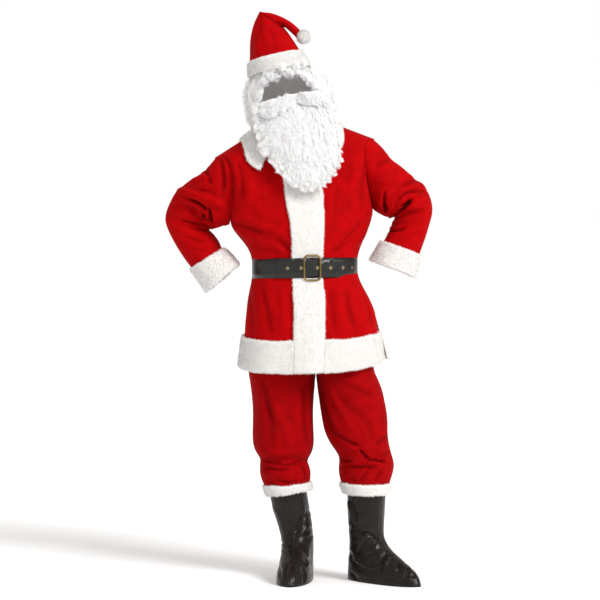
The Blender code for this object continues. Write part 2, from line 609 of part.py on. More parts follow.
def tube(sections, turns, along, names, squareness=2.0):
    """Rings through a table that gives both outlines of a bent tube. turns is 0 on the second outline,
    0.25 in front, 0.5 on the first and 0.75 behind. Each ring lies in a plane along Y, and so do its outward
    directions, so that no two rings cross in a bend."""
    middle, reach = tube_middle(sections, along, names)
    forward, depth = np.array([0.0, -1.0, 0.0]), at(sections, "depth", along)[..., None]
    angle = 2 * math.pi * turns
    long_way, short_way = (power(w, 2 / squareness)[..., None] for w in (-np.cos(angle), np.sin(angle)))
    outward = unit(reach * long_way / np.sum(reach**2, axis=-1, keepdims=True) + forward * short_way / depth)
    return middle + reach * long_way + forward * depth * short_way, outward


def sleeve_skin(side):
    sections = SLEEVE_RIGHT if side == RIGHT else SLEEVE_LEFT

    def skin(u, v):
        turns, along = u % 1.0, np.clip(v, 0, 1)
        ring, outward = tube(sections, turns, along, ("outer", "inner"))
        half, y, z = armhole(turns)
        radial = unit(np.stack([0 * half, y, z - (UNDERARM + SHOULDER_TIP[1]) / 2], axis=-1))
        loop, loop_outward = stand(np.stack([side * (half + 3 * SEAM), y, z], axis=-1), radial)
        joined = fade(along, 0.0, 0.14)[..., None]
        outward = unit(loop_outward * (1 - joined) + outward * joined)
        deep = creases(turns, along, SLEEVE_FOLDS[side]) * fade(along, 0.02, 0.12) * fade(along, 0.84, 0.74)
        return loop * (1 - joined) + ring * joined + outward * deep[..., None], outward

    return skin


def make_sleeves():
    for side, word in ((RIGHT, "right"), (LEFT, "left")):
        skin, start = sleeve_skin(side), CUFF_STARTS[side]
        rows = [start * k / 17 for k in range(18)] + [start + 0.035]
        wall(f"sleeve_{word}", skin, SLEEVE_COLUMNS, rows, -CLOTH, 0, "velour_red", loop=True)
        rows = [start, start + 0.035, start + 0.08, 1.0]
        wall(f"cuff_{word}", skin, SLEEVE_COLUMNS, rows, LAID, LAID + CUFF, "plush_white", loop=True)


# ---------------------------------------------------------------- collar

# Its outer edge, where its ends stop, and the share by which the wearer's left side is rolled under.
COLLAR = {"half": 0.172, "front": 84.0, "back": 58.0, "ends": 52.0, "square": 0.62, "rolled": 0.20}


def collar_skin(u, v):
    """u is the way round the neck in degrees, 0 in front, and v goes from the neckline outwards."""
    around = np.radians(u)
    from_front = np.abs((u + 180) % 360 - 180)
    v = v * (1 - 0.24 * fade(from_front, COLLAR["ends"] + 16, COLLAR["ends"]))
    v = v * (1 - COLLAR["rolled"] * fade(np.sin(around), 0.1, 0.9))
    square = 1 - (1 - COLLAR["square"]) * v
    x = (NECK_HALF + (COLLAR["half"] - NECK_HALF) * v) * power(np.sin(around), square)
    front_deg = NECK_FRONT_DEG + (COLLAR["front"] - NECK_FRONT_DEG) * v
    back_deg = NECK_BACK_DEG + (COLLAR["back"] - NECK_BACK_DEG) * v
    ahead = np.cos(around) > 0
    angle = 90 - np.abs(power(np.cos(around), square)) * np.where(ahead, front_deg, back_deg)
    half = yoke_half(angle)
    share = np.abs(x) / half
    cosine = np.sqrt(np.clip(1 - share**2, 0, 1))
    sides, outward = [], []
    for face in (FRONT, BACK):
        depth, z = yoke(x, share, cosine, angle, face)
        sides.append(np.stack([x, face * depth, z], axis=-1))
        outward.append(body_outward(np.sign(x), face, share, cosine, half, CHEST_FRONT, angle))
    return stand(np.where(ahead[..., None], *sides), np.where(ahead[..., None], *outward))


def make_collar():
    steps = [90 * k / 8 for k in range(11)] + [180 - COLLAR["ends"]]
    columns = [-180 - step for step in reversed(steps[1:])] + [-180 + step for step in steps]

    def inner(u, v):
        return 0.0044 + 0.0046 * fade(v, 0.0, 0.5)

    def outer(u, v):
        return inner(u, v) + PLUSH

    wall("collar", collar_skin, columns, (0.03, 0.34, 0.68, 1.0), inner, outer, "plush_white")


# ---------------------------------------------------------------- belt and waistband

EYELET = {"hole": 0.0030, "barrel": 0.0035, "flange": 0.0050, "thick": 0.0007}
EYELETS = (-0.064, -0.021, 0.031, 0.074, 0.117, 0.150)
TAIL_END = -0.100
BUCKLE = {"middle": 0.014, "wide": 0.053, "high": 0.081, "tube": 0.0031, "corner": 0.012, "bar": 0.0012}
LAYER = BELT + 0.0008  # from one layer of the belt to the next
RAMP = 0.52  # the front column where the belt comes down off the plush
QUARTERS = ((LEFT, FRONT), (LEFT, BACK), (RIGHT, BACK), (RIGHT, FRONT))
BODY_SKINS = [jacket_body(*quarter) for quarter in QUARTERS]


def around_jacket(u, v):
    """The jacket's skin as one band: u is 0 in the middle of the front, 1 at the wearer's left side seam,
    2 in the middle of the back, 3 at the right side seam and 4 in front again."""
    part, rest = np.floor(u).astype(int) % 4, u - np.floor(u)
    masks = [part == k for k in range(4)]
    return choose(masks, BODY_SKINS, [rest if k % 2 == 0 else 1 - rest for k in range(4)], v)


def front_column(x):
    """The front panel's column at a sideways distance, at the belt."""
    columns = np.linspace(0, 1, 201)
    half = at(JACKET, "half", BELT_MIDDLE, "height")
    across = across_body(columns, np.full(201, half), FRONT_FIXED, np.full(201, BELT_MIDDLE))[0]
    return float(np.interp(abs(x), across, columns))


def once_round():
    """The columns of all four quarters, once round, without the last."""
    front, back = list(FRONT_COLUMNS), list(BACK_COLUMNS)
    behind = [2 - c for c in reversed(back)] + [2 + c for c in back[1:]]
    return front[:-1] + behind + [4 - c for c in reversed(front[1:-1])]


def belt_off(u, v):
    """How far the belt's inner face lies off the jacket: over the plush in front, and over its own layer."""
    from_middle = np.abs(u - 4 * np.round(u / 4))
    lifted = np.interp(from_middle, (TRIM_EDGE, RAMP), (LAID + PLUSH - BELT_PRESS, 0))
    return LAID + 0.0002 + lifted + LAYER * fade(u, RAMP - 0.02, 0.12)


def belt_columns():
    """From the tail, over the belt's own start, and once round to the buckle's bar."""
    tail, bar = front_column(TAIL_END), front_column(BUCKLE["middle"] - BUCKLE["bar"] - SEAM)
    return [-tail] + [-c for c in reversed(FRONT_COLUMNS[1:]) if c < tail] + once_round() + [4.0, 4.0 + bar]


def belt_frame(x):
    """A place on the facet of the belt's outer layer at a sideways distance: along it to the wearer's
    left, up, and outwards."""
    u = math.copysign(front_column(x), x)
    columns = belt_columns()
    one = max(c for c in columns if c <= u)
    two = min(c for c in columns if c > one)
    us, vs = np.meshgrid((one, two), (row_of(BELT_LOW), row_of(BELT_HIGH)))
    points, outward = around_jacket(us, vs)
    points = points + outward * (belt_off(us, vs) + BELT)[..., None]
    low, high = ([Vector(point) for point in row] for row in points)
    share = (u - one) / (two - one)
    middle = [(low[k] + high[k]) / 2 for k in (0, 1)]
    along = (middle[1] - middle[0]).normalized()
    out = along.cross(high[0] - low[0]).normalized()
    axes = Matrix((along, out.cross(along), out)).transposed().to_4x4()
    return axes, middle[0].lerp(middle[1], share) - Vector((0, 0, NECK_HEIGHT))


def solid_curve(name, points, radius, cyclic=False):
    """A rod along points, as a mesh with its caps welded."""
    curve = bpy.data.curves.new(name, "CURVE")
    curve.dimensions, curve.bevel_depth, curve.bevel_resolution, curve.use_fill_caps = "3D", radius, 2, True
    spline = curve.splines.new("POLY")
    spline.points.add(len(points) - 1)
    for point, place in zip(spline.points, points):
        point.co = (*place, 1)
    spline.use_cyclic_u = cyclic
    drawn = bpy.data.objects.new(name + "_curve", curve)
    SUIT.objects.link(drawn)
    bpy.context.view_layer.update()
    mesh = bpy.data.meshes.new_from_object(drawn.evaluated_get(bpy.context.evaluated_depsgraph_get()))
    bpy.data.objects.remove(drawn)
    shape = bmesh.new()
    shape.from_mesh(mesh)
    bmesh.ops.remove_doubles(shape, verts=shape.verts, dist=1e-6)
    shape.to_mesh(mesh)
    shape.free()
    mesh.materials.clear()
    return mesh


def rounded_frame(wide, high, corner, steps):
    """A rectangle with round corners, as points."""
    points = []
    for quarter, (across, up) in enumerate(((1, 1), (-1, 1), (-1, -1), (1, -1))):
        for k in range(steps + 1):
            angle = math.radians(90 * (quarter + k / steps))
            x = across * (wide / 2 - corner) + corner * math.cos(angle)
            points.append((x, up * (high / 2 - corner) + corner * math.sin(angle), 0))
    return points


def make_buckle():
    """A frame over the belt, its bar behind the belt where the inner end stops, a prong and the eyelets."""
    axes, point = belt_frame(BUCKLE["middle"])
    tube_radius, bar = BUCKLE["tube"], BUCKLE["bar"]
    lift = tube_radius + 0.0012
    place = Matrix.Translation(point) @ axes
    ring = rounded_frame(BUCKLE["wide"], BUCKLE["high"], BUCKLE["corner"], 4)
    frame = add_object("buckle", solid_curve("buckle", ring, tube_radius, cyclic=True), "brass")
    frame.matrix_world = place @ Matrix.Translation((0, 0, lift))
    behind = -(BELT + SEAM + bar)
    half_belt = (BELT_HIGH - BELT_LOW) / 2
    bend = [(half_belt + 0.0006, behind), (half_belt + 0.0022, behind + 0.0012)]
    bend.append((BUCKLE["high"] / 2, lift - 0.0008))
    path = [(0, -up, out) for up, out in reversed(bend)] + [(0, up, out) for up, out in bend]
    cross_bar = add_object("buckle_bar_joined", solid_curve("bar", path, bar), "brass")
    cross_bar.matrix_world = place
    cross_bar.hide_render, cross_bar.display_type = True, "WIRE"
    joined = frame.modifiers.new("bar", "BOOLEAN")
    joined.operation, joined.object = "UNION", cross_bar
    hole = EYELETS[2] - BUCKLE["middle"]
    tip = BUCKLE["wide"] / 2 - tube_radius - 0.0016
    prong = [(bar + 0.0014, behind), (hole - 0.0022, behind)]
    prong += [(hole + 0.0002, -0.0010), (hole + 0.0010, 0.0016), (tip, lift)]
    rod = add_object("prong", solid_curve("prong", [(x, 0, out) for x, out in prong], 0.0010), "brass")
    rod.matrix_world = place
    strap = bpy.data.objects["belt"]
    for k, x in enumerate(EYELETS):
        axes, point = belt_frame(x)
        place = Matrix.Translation(point) @ axes
        shape, radius = bmesh.new(), EYELET["barrel"] + SEAM
        bmesh.ops.create_cone(shape, cap_ends=True, segments=12, radius1=radius, radius2=radius, depth=0.0038)
        mesh = bpy.data.meshes.new(f"hole_{k}")
        shape.to_mesh(mesh)
        shape.free()
        cutter = add_object(f"hole_{k}", mesh, "brass")
        cutter.matrix_world = place @ Matrix.Translation((0, 0, -BELT / 2))
        cutter.hide_render, cutter.display_type = True, "WIRE"
        cut = strap.modifiers.new(f"hole_{k}", "BOOLEAN")
        cut.operation, cut.object = "DIFFERENCE", cutter
        add_eyelet(f"eyelet_{k + 1}", place)


def add_eyelet(name, place):
    """A turned ring: a barrel in the belt's hole and a flange on its face."""
    hole, barrel, flange, thick = (EYELET[key] for key in ("hole", "barrel", "flange", "thick"))
    profile = [(hole, thick), (hole, -BELT), (barrel, -BELT), (barrel, SEAM), (flange, SEAM), (flange, thick)]
    steps, shape = 12, bmesh.new()
    rings = []
    for k in range(steps):
        angle = 2 * math.pi * k / steps
        rings.append([shape.verts.new((r * math.cos(angle), r * math.sin(angle), z)) for r, z in profile])
    for k in range(steps):
        for j in range(len(profile)):
            one, two = rings[k], rings[(k + 1) % steps]
            shape.faces.new([one[j], two[j], two[(j + 1) % len(profile)], one[(j + 1) % len(profile)]])
    bmesh.ops.recalc_face_normals(shape, faces=shape.faces)
    mesh = bpy.data.meshes.new(name)
    shape.to_mesh(mesh)
    shape.free()
    add_object(name, mesh, "brass").matrix_world = place


def make_belt():
    rows = [row_of(BELT_LOW), row_of(BELT_HIGH)]

    def belt_outer(u, v):
        return belt_off(u, v) + BELT

    wall("belt", around_jacket, belt_columns(), rows, belt_off, belt_outer, "belt_black")
    make_buckle()
    rows = [row_of(BELT_LOW + 0.008), row_of(BELT_MIDDLE + 0.005)]
    outer = -(CLOTH + LAID)
    wall("waistband", around_jacket, once_round(), rows, outer - 0.0024, outer, "velour_red", loop=True)


# ---------------------------------------------------------------- trousers

LEG_COLUMNS = [k / 8 for k in range(9)]
LEG_ROWS = [0.0, 0.05, 0.10, 0.15, 0.20, 0.25, 0.30, 0.36, 0.43, 0.52, 0.62, 0.73, 0.85, 0.95]
HIP_HEIGHTS = (0.715, 0.760, 0.810, 0.880, 0.950, BELT_LOW + 0.0075)
LEG_FOLDS = {
    RIGHT: table(
        "u0 v0 u1 v1 half high",
        (0.10, 0.285, 0.40, 0.300, 0.035, -0.008),
        (0.60, 0.300, 0.90, 0.290, 0.035, -0.006),
        (0.22, 0.95, 0.16, 0.62, 0.040, -0.005),
        (0.36, 0.80, 0.33, 0.45, 0.040, 0.004),
    ),
    LEFT: table(
        "u0 v0 u1 v1 half high",
        (0.28, 0.36, 0.46, 0.30, 0.032, -0.010),
        (0.10, 0.335, 0.30, 0.330, 0.030, -0.007),
        (0.60, 0.340, 0.90, 0.330, 0.035, -0.006),
        (0.06, 0.97, 0.30, 0.60, 0.040, -0.006),
        (0.34, 0.85, 0.40, 0.50, 0.040, 0.004),
    ),
}


def leg_skin(side, face):
    """One panel of the trousers: u from the inseam to the side seam, v from the ankle up, 1 at the fork."""
    sections = LEG_RIGHT if side == RIGHT else LEG_LEFT

    def skin(u, v):
        turns = u / 2 if face == FRONT else 1 - u / 2
        leg, outward = tube(sections, turns, np.clip(1 - v, 0, 1), ("side", "inner"), 2.1)
        deep = creases(turns, v, LEG_FOLDS[side]) * fade(v, 0.10, 0.20) * fade(v, 1.0, 0.9)
        leg = leg + outward * deep[..., None]
        leg[..., 1] += face * SEAM / 2
        height = FORK + np.clip(v - 1, 0, 1)
        leg[..., 2] += height - FORK
        half = at(HIPS, "half", height, "height")
        depth = at(HIPS, "front" if face == FRONT else "back", height, "height")
        angle = np.radians(90 * u)
        share, rounded = power(np.sin(angle), 2 / ROUND), power(np.cos(angle), 2 / ROUND)
        places = [side * (half * share + SEAM / 2), face * (depth * rounded + SEAM / 2), height]
        faced = body_outward(side, face, share, np.cos(angle), half, depth, np.zeros_like(u))
        hips, hips_outward = stand(np.stack(places, axis=-1), faced)
        joined = fade(height, FORK, 0.800)[..., None]
        return leg * (1 - joined) + hips * joined, unit(outward * (1 - joined) + hips_outward * joined)

    return skin


def whole_leg(side):
    """Both panels of a leg as one skin, for its trim: u is the turn, 0 at the inseam and 0.25 in front."""

    def skin(u, v):
        panels = [leg_skin(side, face) for face in (FRONT, BACK)]
        return choose((u <= 0.5, u > 0.5), panels, (2 * u, 2 - 2 * u), v)

    return skin


def make_trousers():
    rows = LEG_ROWS + [1 + height - FORK for height in (FORK,) + HIP_HEIGHTS]
    for side, word in ((RIGHT, "right"), (LEFT, "left")):
        for face, where in ((FRONT, "front"), (BACK, "back")):
            name = f"trousers_{where}_{word}"
            wall(name, leg_skin(side, face), LEG_COLUMNS, rows, -CLOTH, 0, "velour_red")
        name = f"trouser_cuff_{word}"
        columns = [k / 16 for k in range(16)]
        trim = [row for row in LEG_ROWS if row <= LEG_TRIM]
        wall(name, whole_leg(side), columns, trim, LAID, LAID + PLUSH, "plush_white", loop=True)


# ---------------------------------------------------------------- boot covers

BOOT_COLUMNS = [k / 8 for k in range(9)]


def boot_skin(foot, half_side):
    """Half of a boot cover: u from the shin to the heel, v from the floor up."""
    ankle, top, twist = foot["ankle"], foot["top"], turn(foot["turn"], "Z")

    def skin(u, v):
        along = np.clip(1 - v, 0, 1)
        back, front = (
            np.stack([0 * along, at(BOOT, name + "_y", along), at(BOOT, name + "_z", along)], axis=-1)
            for name in ("back", "front")
        )
        reach, half = (front - back) / 2, at(BOOT, "half", along)
        long_way, short_way = (power(w, 0.93)[..., None] for w in (np.cos(math.pi * u), np.sin(math.pi * u)))
        sideways = np.array([half_side, 0.0, 0.0])
        half = half[..., None]
        made = (back + front) / 2 + reach * long_way + sideways * (half * short_way + SEAM / 2)
        outward = reach * long_way / np.sum(reach**2, axis=-1, keepdims=True) + sideways * short_way / half
        made = made @ twist.T
        lean = at(BOOT, "lean", along)
        made[..., 0] += ankle[0] + lean * top[0]
        made[..., 1] += ankle[1] + lean * top[1]
        return made, unit(outward) @ twist.T

    return skin


def make_boots():
    rows = [1 - v for v in reversed((0.0, 0.14, 0.28, 0.40, 0.50, 0.58, 0.66, 0.74, 0.82, 0.89, 0.95, 1.0))]
    for side, word in ((RIGHT, "right"), (LEFT, "left")):
        for half_side, panel in ((-side, "inner"), (side, "outer")):
            name = f"boot_cover_{word}_{panel}"
            wall(name, boot_skin(FEET[side], half_side), BOOT_COLUMNS, rows, -VINYL, 0, "vinyl_black")


# ---------------------------------------------------------------- hat

HAT_COLUMNS = [k / 16 for k in range(16)]
HAT_ROWS = [0.0, 0.045, 0.11, 0.17, 0.23, 0.31, 0.39, 0.47, 0.54, 0.61, 0.68, 0.76, 0.84, 0.92, 1.0]


def hat_skin(u, v):
    """The hat, with the outward directions at the closed end turned along the tail."""
    points, outward = tube(HAT, u % 1.0, np.clip(v, 0, 1), ("high", "low"))
    reach = unit(tube_middle(HAT, v, ("high", "low"))[1])
    along = np.stack([reach[..., 2], 0 * v, -reach[..., 0]], axis=-1)
    return points, unit(outward + along * fade(v, 0.93, 1.0)[..., None])


def make_hat():
    wall("hat", hat_skin, HAT_COLUMNS, HAT_ROWS, -CLOTH, 0, "velour_red", loop=True, capped=True)
    trim = [v for v in HAT_ROWS if v <= HAT_TRIM_TO]
    wall("hat_trim", hat_skin, HAT_COLUMNS, trim, LAID, LAID + PLUSH, "plush_white", loop=True)
    ball = bmesh.new()
    bmesh.ops.create_uvsphere(ball, u_segments=16, v_segments=10, radius=POMPOM["radius"])
    for point in ball.verts:
        around = math.atan2(point.co.y, point.co.x)
        point.co *= 1 + 0.05 * math.sin(3 * around + 1) * math.sin(200 * point.co.z)
    mesh = bpy.data.meshes.new("pompom")
    ball.to_mesh(mesh)
    ball.free()
    middle = Vector(POMPOM["middle"]) - Vector((0, 0, NECK_HEIGHT))
    add_object("pompom", mesh, "plush_white").location = middle


# ---------------------------------------------------------------- wig, beard and moustache


def on_head(places, outward):
    """A place and a direction from the head's own axes."""
    lean = turn(-HEAD["roll"], "Y").T
    points = np.stack(places, axis=-1) @ lean + np.array(HEAD["middle"])
    return points, unit(np.stack(outward, axis=-1)) @ lean


def curls(u, v, waves, seed):
    """Lumps of curly hair, from -1 to 1."""
    first = np.sin(waves[0] * u + 1.7 * np.sin(waves[1] * v + seed) + seed)
    second = np.sin(waves[0] * 1.7 * u - waves[1] * 1.3 * v + 3 * seed)
    return 0.6 * first * np.sin(waves[1] * v + 2 * seed) + 0.4 * second


def wig_skin(u, v):
    """u is the way round from the face in degrees, v the height along the head."""
    sine, cosine = np.sin(np.radians(u)), np.cos(np.radians(u))
    half = at(WIG, "half", v, "height")
    depth = np.where(cosine > 0, at(WIG, "front", v, "height"), at(WIG, "back", v, "height"))
    places = [at(WIG, "middle", v, "height") + half * sine, -depth * cosine, v]
    return on_head(places, [sine / half, -cosine / depth, np.zeros_like(v)])


def wig_outer(u, v):
    lumps = 0.14 * curls(np.radians(u), v, (7, 90), 0.8) * fade(v, 0.062, 0.045)
    return at(WIG, "thick", v, "height") * (1 + lumps)


WIG_LOW = -0.0925
FRINGE_LOW = 0.052
FRINGE_HIGH = 0.102


def make_wig():
    def place(u, v):
        """The way round, for u from -1 to 1 between the edges beside the face, and the height."""
        angle = 180 + u * (180 - at(WIG, "edge", v, "height"))
        sine, cosine = np.sin(np.radians(angle)), np.cos(np.radians(angle))
        low = (0.006 * sine - 0.016 * cosine.clip(-1, 0)) * fade(v, 0.0, WIG_LOW)
        return angle, v - low

    def back(u, v):
        return wig_skin(*place(u, v))

    def back_outer(u, v):
        return wig_outer(*place(u, v))

    heights = [WIG_LOW, -0.074, -0.052, -0.030, -0.006, 0.016, 0.036, 0.050, 0.062, 0.072, 0.104]
    wall("wig", back, np.linspace(-1, 1, 21), heights, 0, back_outer, "hair_white")
    edge = WIG["edge"][-1] - 1.0

    def fringe_place(u, v):
        low = FRINGE_LOW + 0.006 * np.sin(9 * u + 1) - 0.006 * np.abs(u) ** 3
        return u * edge, low + (FRINGE_HIGH - low) * v

    def fringe(u, v):
        return wig_skin(*fringe_place(u, v))

    def fringe_outer(u, v):
        height = fringe_place(u, v)[1]
        return wig_outer(u * edge, height) + 0.003 * np.sin(9 * u) * fade(height, 0.062, 0.050)

    rows = (0, 0.12, 0.24, 0.42, 1.0)
    wall("wig_fringe", fringe, np.linspace(-1, 1, 13), rows, 0, fringe_outer, "hair_white")


def beard_skin(u, v):
    """u from -1 on the wearer's right to 1, v the height along the head."""
    right, left = -at(BEARD, "right", v, "height"), at(BEARD, "left", v, "height")
    angle = np.radians(90 * u)
    x = (right + left) / 2 + (left - right) / 2 * np.sin(angle)
    front, side = at(BEARD, "front", v, "height"), at(BEARD, "side", v, "height")
    places = [x, side + (front - side) * np.clip(np.cos(angle), 0, 1) ** 0.8, v]
    return on_head(places, [0.7 * np.sin(angle), -np.ones_like(v), np.zeros_like(v)])


def beard_outer(u, v):
    return at(BEARD, "thick", v, "height") * (1 + 0.16 * curls(u, v, (7, 75), 0.3))


def make_beard():
    low, high = BEARD["height"][0], BEARD["height"][-1]

    def place(u, v):
        """The height of a point of the beard: its upper edge dips under the mouth."""
        x = 0.1 * np.sin(np.radians(90 * u))
        dip = MOUTH["dip"] * np.exp(-(((x - MOUTH["middle"]) / MOUTH["half"]) ** 2))
        return low + (high - low) * v - dip * fade(v, 0.72, 1.0)

    def skin(u, v):
        return beard_skin(u, place(u, v))

    def outer(u, v):
        return beard_outer(u, place(u, v))

    wall("beard", skin, np.linspace(-0.985, 0.985, 15), np.linspace(0, 1, 13), 0, outer, "hair_white")

    def tuft(u, v):
        """The moustache over the beard: v from its lower edge to its upper one."""
        middle, half = (at(MOUSTACHE, column, u, "across") for column in ("height", "half"))
        return beard_skin(u * 0.60 + 0.12, middle + (2 * v - 1) * half)

    def tuft_inner(u, v):
        return 0.0328 * fade(np.abs(u), -0.10, 0.26) - 0.0008

    def tuft_outer(u, v):
        rounded = 0.35 + 0.65 * np.sin(math.pi * np.clip(v, 0, 1))
        return tuft_inner(u, v) + at(MOUSTACHE, "thick", u, "across") * rounded

    columns, rows = np.linspace(-1, 1, 17), (0, 0.25, 0.5, 0.75, 1)
    wall("moustache", tuft, columns, rows, tuft_inner, tuft_outer, "hair_white")


# ---------------------------------------------------------------- build

for old in list(bpy.data.objects):
    bpy.data.objects.remove(old)
SUIT = bpy.data.collections.new("santa_suit")
bpy.context.scene.collection.children.link(SUIT)

make_jacket_body()
make_jacket_trims()
make_sleeves()
make_collar()
make_belt()
make_trousers()
make_boots()
make_hat()
make_wig()
make_beard()
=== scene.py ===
# Santa suit on a standing form: jacket, trousers, belt, hat, wig, beard and boot covers.
import math

import bmesh
import bpy
import numpy as np
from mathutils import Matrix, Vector
from mathutils.bvhtree import BVHTree
from mathutils.kdtree import KDTree


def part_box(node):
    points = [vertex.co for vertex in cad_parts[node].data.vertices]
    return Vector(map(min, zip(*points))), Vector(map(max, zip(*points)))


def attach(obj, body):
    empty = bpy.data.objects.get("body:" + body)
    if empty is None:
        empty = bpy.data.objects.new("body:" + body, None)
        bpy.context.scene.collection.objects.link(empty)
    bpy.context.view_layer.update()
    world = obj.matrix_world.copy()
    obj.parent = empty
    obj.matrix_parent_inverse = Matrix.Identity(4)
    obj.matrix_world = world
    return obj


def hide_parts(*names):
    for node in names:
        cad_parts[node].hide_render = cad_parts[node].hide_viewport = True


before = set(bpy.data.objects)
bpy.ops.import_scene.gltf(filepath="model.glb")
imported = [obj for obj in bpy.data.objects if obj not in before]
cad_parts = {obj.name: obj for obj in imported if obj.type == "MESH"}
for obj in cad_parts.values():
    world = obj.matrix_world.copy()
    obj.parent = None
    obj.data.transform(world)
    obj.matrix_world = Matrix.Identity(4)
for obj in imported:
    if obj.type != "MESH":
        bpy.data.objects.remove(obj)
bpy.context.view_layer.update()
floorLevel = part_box("boot_cover_left_outer")[0].z
millimetre = 0.001
sharpAngle = math.radians(55)  # an edge bent more than this is a rim or a corner
pairAngles = {"angle_face_threshold": math.radians(50), "angle_shape_threshold": math.radians(75)}
weld = 1e-5  # corners nearer than this are one

# camera, floor and light; angles in degrees
stageSetup = {
    "cameraAt": (-0.017, -7.0, -0.42),
    "lookAt": (-0.017, 0.0, -0.53),
    "lens": 125.4,
    "sensor": 36.0,
    "backdrop": {"Color": (1, 1, 1, 1), "Strength": 1.0},
    "ambient": {"Color": (1.0, 0.985, 0.965, 1), "Strength": 0.60},
    "key": {"from": (3.4, -3.4, 3.2), "strength": 2.7, "angle": 22},
    "fill": {"from": (-3.5, -2.5, 1.2), "strength": 0.12, "angle": 60},
    "floorSize": 60,
    "floorBelow": 0.0005,
}
floorPaint = {
    "Base Color": (0.95, 0.95, 0.95, 1),
    "Roughness": 0.95,
    "Emission Color": (1, 1, 1, 1),
    "Emission Strength": 0.16,
    "Specular IOR Level": 0.1,
}


def setInputs(node, values):
    for key, value in values.items():
        node.inputs[key].default_value = value


def addSun(name, setup):
    sun = bpy.data.lights.new(name, "SUN")
    sun.energy, sun.angle = setup["strength"], math.radians(setup["angle"])
    lamp = bpy.data.objects.new(name, sun)
    lamp.rotation_euler = (-Vector(setup["from"])).to_track_quat("-Z", "Y").to_euler()
    bpy.context.scene.collection.objects.link(lamp)


def makeWorld():
    # the backdrop is bright where it is seen, and gives a softer light than that
    world = bpy.data.worlds.new("studio")
    world.use_nodes = True
    tree = world.node_tree
    seen, soft = tree.nodes["Background"], tree.nodes.new("ShaderNodeBackground")
    setInputs(seen, stageSetup["backdrop"])
    setInputs(soft, stageSetup["ambient"])
    mix, path = tree.nodes.new("ShaderNodeMixShader"), tree.nodes.new("ShaderNodeLightPath")
    tree.links.new(path.outputs["Is Camera Ray"], mix.inputs[0])
    tree.links.new(soft.outputs[0], mix.inputs[1])
    tree.links.new(seen.outputs[0], mix.inputs[2])
    tree.links.new(mix.outputs[0], tree.nodes["World Output"].inputs["Surface"])
    return world


def makeStage():
    scene = bpy.context.scene
    scene.view_settings.view_transform = "Standard"
    lens = bpy.data.cameras.new("camera")
    lens.lens, lens.sensor_width = stageSetup["lens"], stageSetup["sensor"]
    camera = bpy.data.objects.new("camera", lens)
    camera.location = stageSetup["cameraAt"]
    aim = Vector(stageSetup["lookAt"]) - camera.location
    camera.rotation_euler = aim.to_track_quat("-Z", "Y").to_euler()
    scene.collection.objects.link(camera)
    scene.camera = camera
    for name in ("key", "fill"):
        addSun(name, stageSetup[name])
    scene.world = makeWorld()
    level = floorLevel - stageSetup["floorBelow"]
    bpy.ops.mesh.primitive_plane_add(size=stageSetup["floorSize"], location=(0, 0, level))
    floor = bpy.context.object
    floor.name = "floor"
    paint = bpy.data.materials.new("palePaint")
    paint.use_nodes = True
    setInputs(paint.node_tree.nodes["Principled BSDF"], floorPaint)
    floor.data.materials.append(paint)


print("stage")
makeStage()

# small tools; sizes are in metres where no note says otherwise
hashPrimes = (73856093, 19349663, 83492791, 2654435761, 1274126177)


def softStep(x, start, end):
    share = np.clip((x - start) / (end - start), 0.0, 1.0)
    return share * share * (3 - 2 * share)


def unit(vectors):
    return vectors / np.maximum(np.linalg.norm(vectors, axis=-1, keepdims=True), 1e-9)


def softNoise(points, size, seed):
    # smooth noise from -1 to 1, one lump for each `size` metres
    grid = points / size
    low = np.floor(grid).astype(np.int64)
    part = grid - low
    part = part * part * (3 - 2 * part)
    total = np.zeros(len(points))
    alongX, alongY, alongZ, alongSeed, stir = hashPrimes
    for corner in range(8):
        step = np.array([corner & 1, corner >> 1 & 1, corner >> 2 & 1])
        at = low + step
        key = at[:, 0] * alongX ^ at[:, 1] * alongY ^ at[:, 2] * alongZ ^ seed * alongSeed
        key = (key ^ (key >> 13)) * stir & 0x7FFFFFFF
        value = (key ^ (key >> 16)) % 65536 / 32768.0 - 1
        total += value * np.prod(np.where(step == 1, part, 1 - part), axis=1)
    return total


def nearestOnAxis(points, axis):
    # nearest place on a run of straight pieces
    axis = np.array(axis, float)
    best, place = np.full(len(points), np.inf), np.zeros_like(points)
    for one, two in zip(axis[:-1], axis[1:]):
        way = two - one
        share = np.clip((points - one) @ way / np.linalg.norm(way) ** 2, 0, 1)
        found = one + share[:, None] * way
        away = np.linalg.norm(points - found, axis=1)
        closer = away < best
        best[closer], place[closer] = away[closer], found[closer]
    return place


def addPiece(name, mesh, material, replaced):
    mesh.materials.clear()
    for each in material if isinstance(material, list) else [material]:
        mesh.materials.append(each)
    piece = bpy.data.objects.new(name, mesh)
    bpy.context.scene.collection.objects.link(piece)
    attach(piece, "root")
    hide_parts(*replaced)
    return piece


def nodeForm(node):
    # the solid's own form, its corners joined up
    form = bmesh.new()
    form.from_mesh(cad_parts[node].data)
    bmesh.ops.remove_doubles(form, verts=form.verts, dist=weld)
    return form


def sharpEdges(form):
    return [edge for edge in form.edges if len(edge.link_faces) == 2 and edge.calc_face_angle() > sharpAngle]


def fineMesh(node, rim=1.0):
    # the solid's form with its triangles paired again, made finer and smooth
    form = nodeForm(node)
    bmesh.ops.join_triangles(form, faces=form.faces, **pairAngles)
    crease = form.edges.layers.float.new("crease_edge")
    for edge in sharpEdges(form):
        edge[crease] = rim
    mesh = bpy.data.meshes.new(node)
    form.to_mesh(mesh)
    form.free()
    holder = bpy.data.objects.new("holder", mesh)
    bpy.context.scene.collection.objects.link(holder)
    smooth = holder.modifiers.new("smooth", "SUBSURF")
    smooth.levels = smooth.render_levels = 2
    made = bpy.data.meshes.new_from_object(holder.evaluated_get(bpy.context.evaluated_depsgraph_get()))
    bpy.data.objects.remove(holder)
    bpy.data.meshes.remove(mesh)
    made.name = node
    made.shade_smooth()
    return made


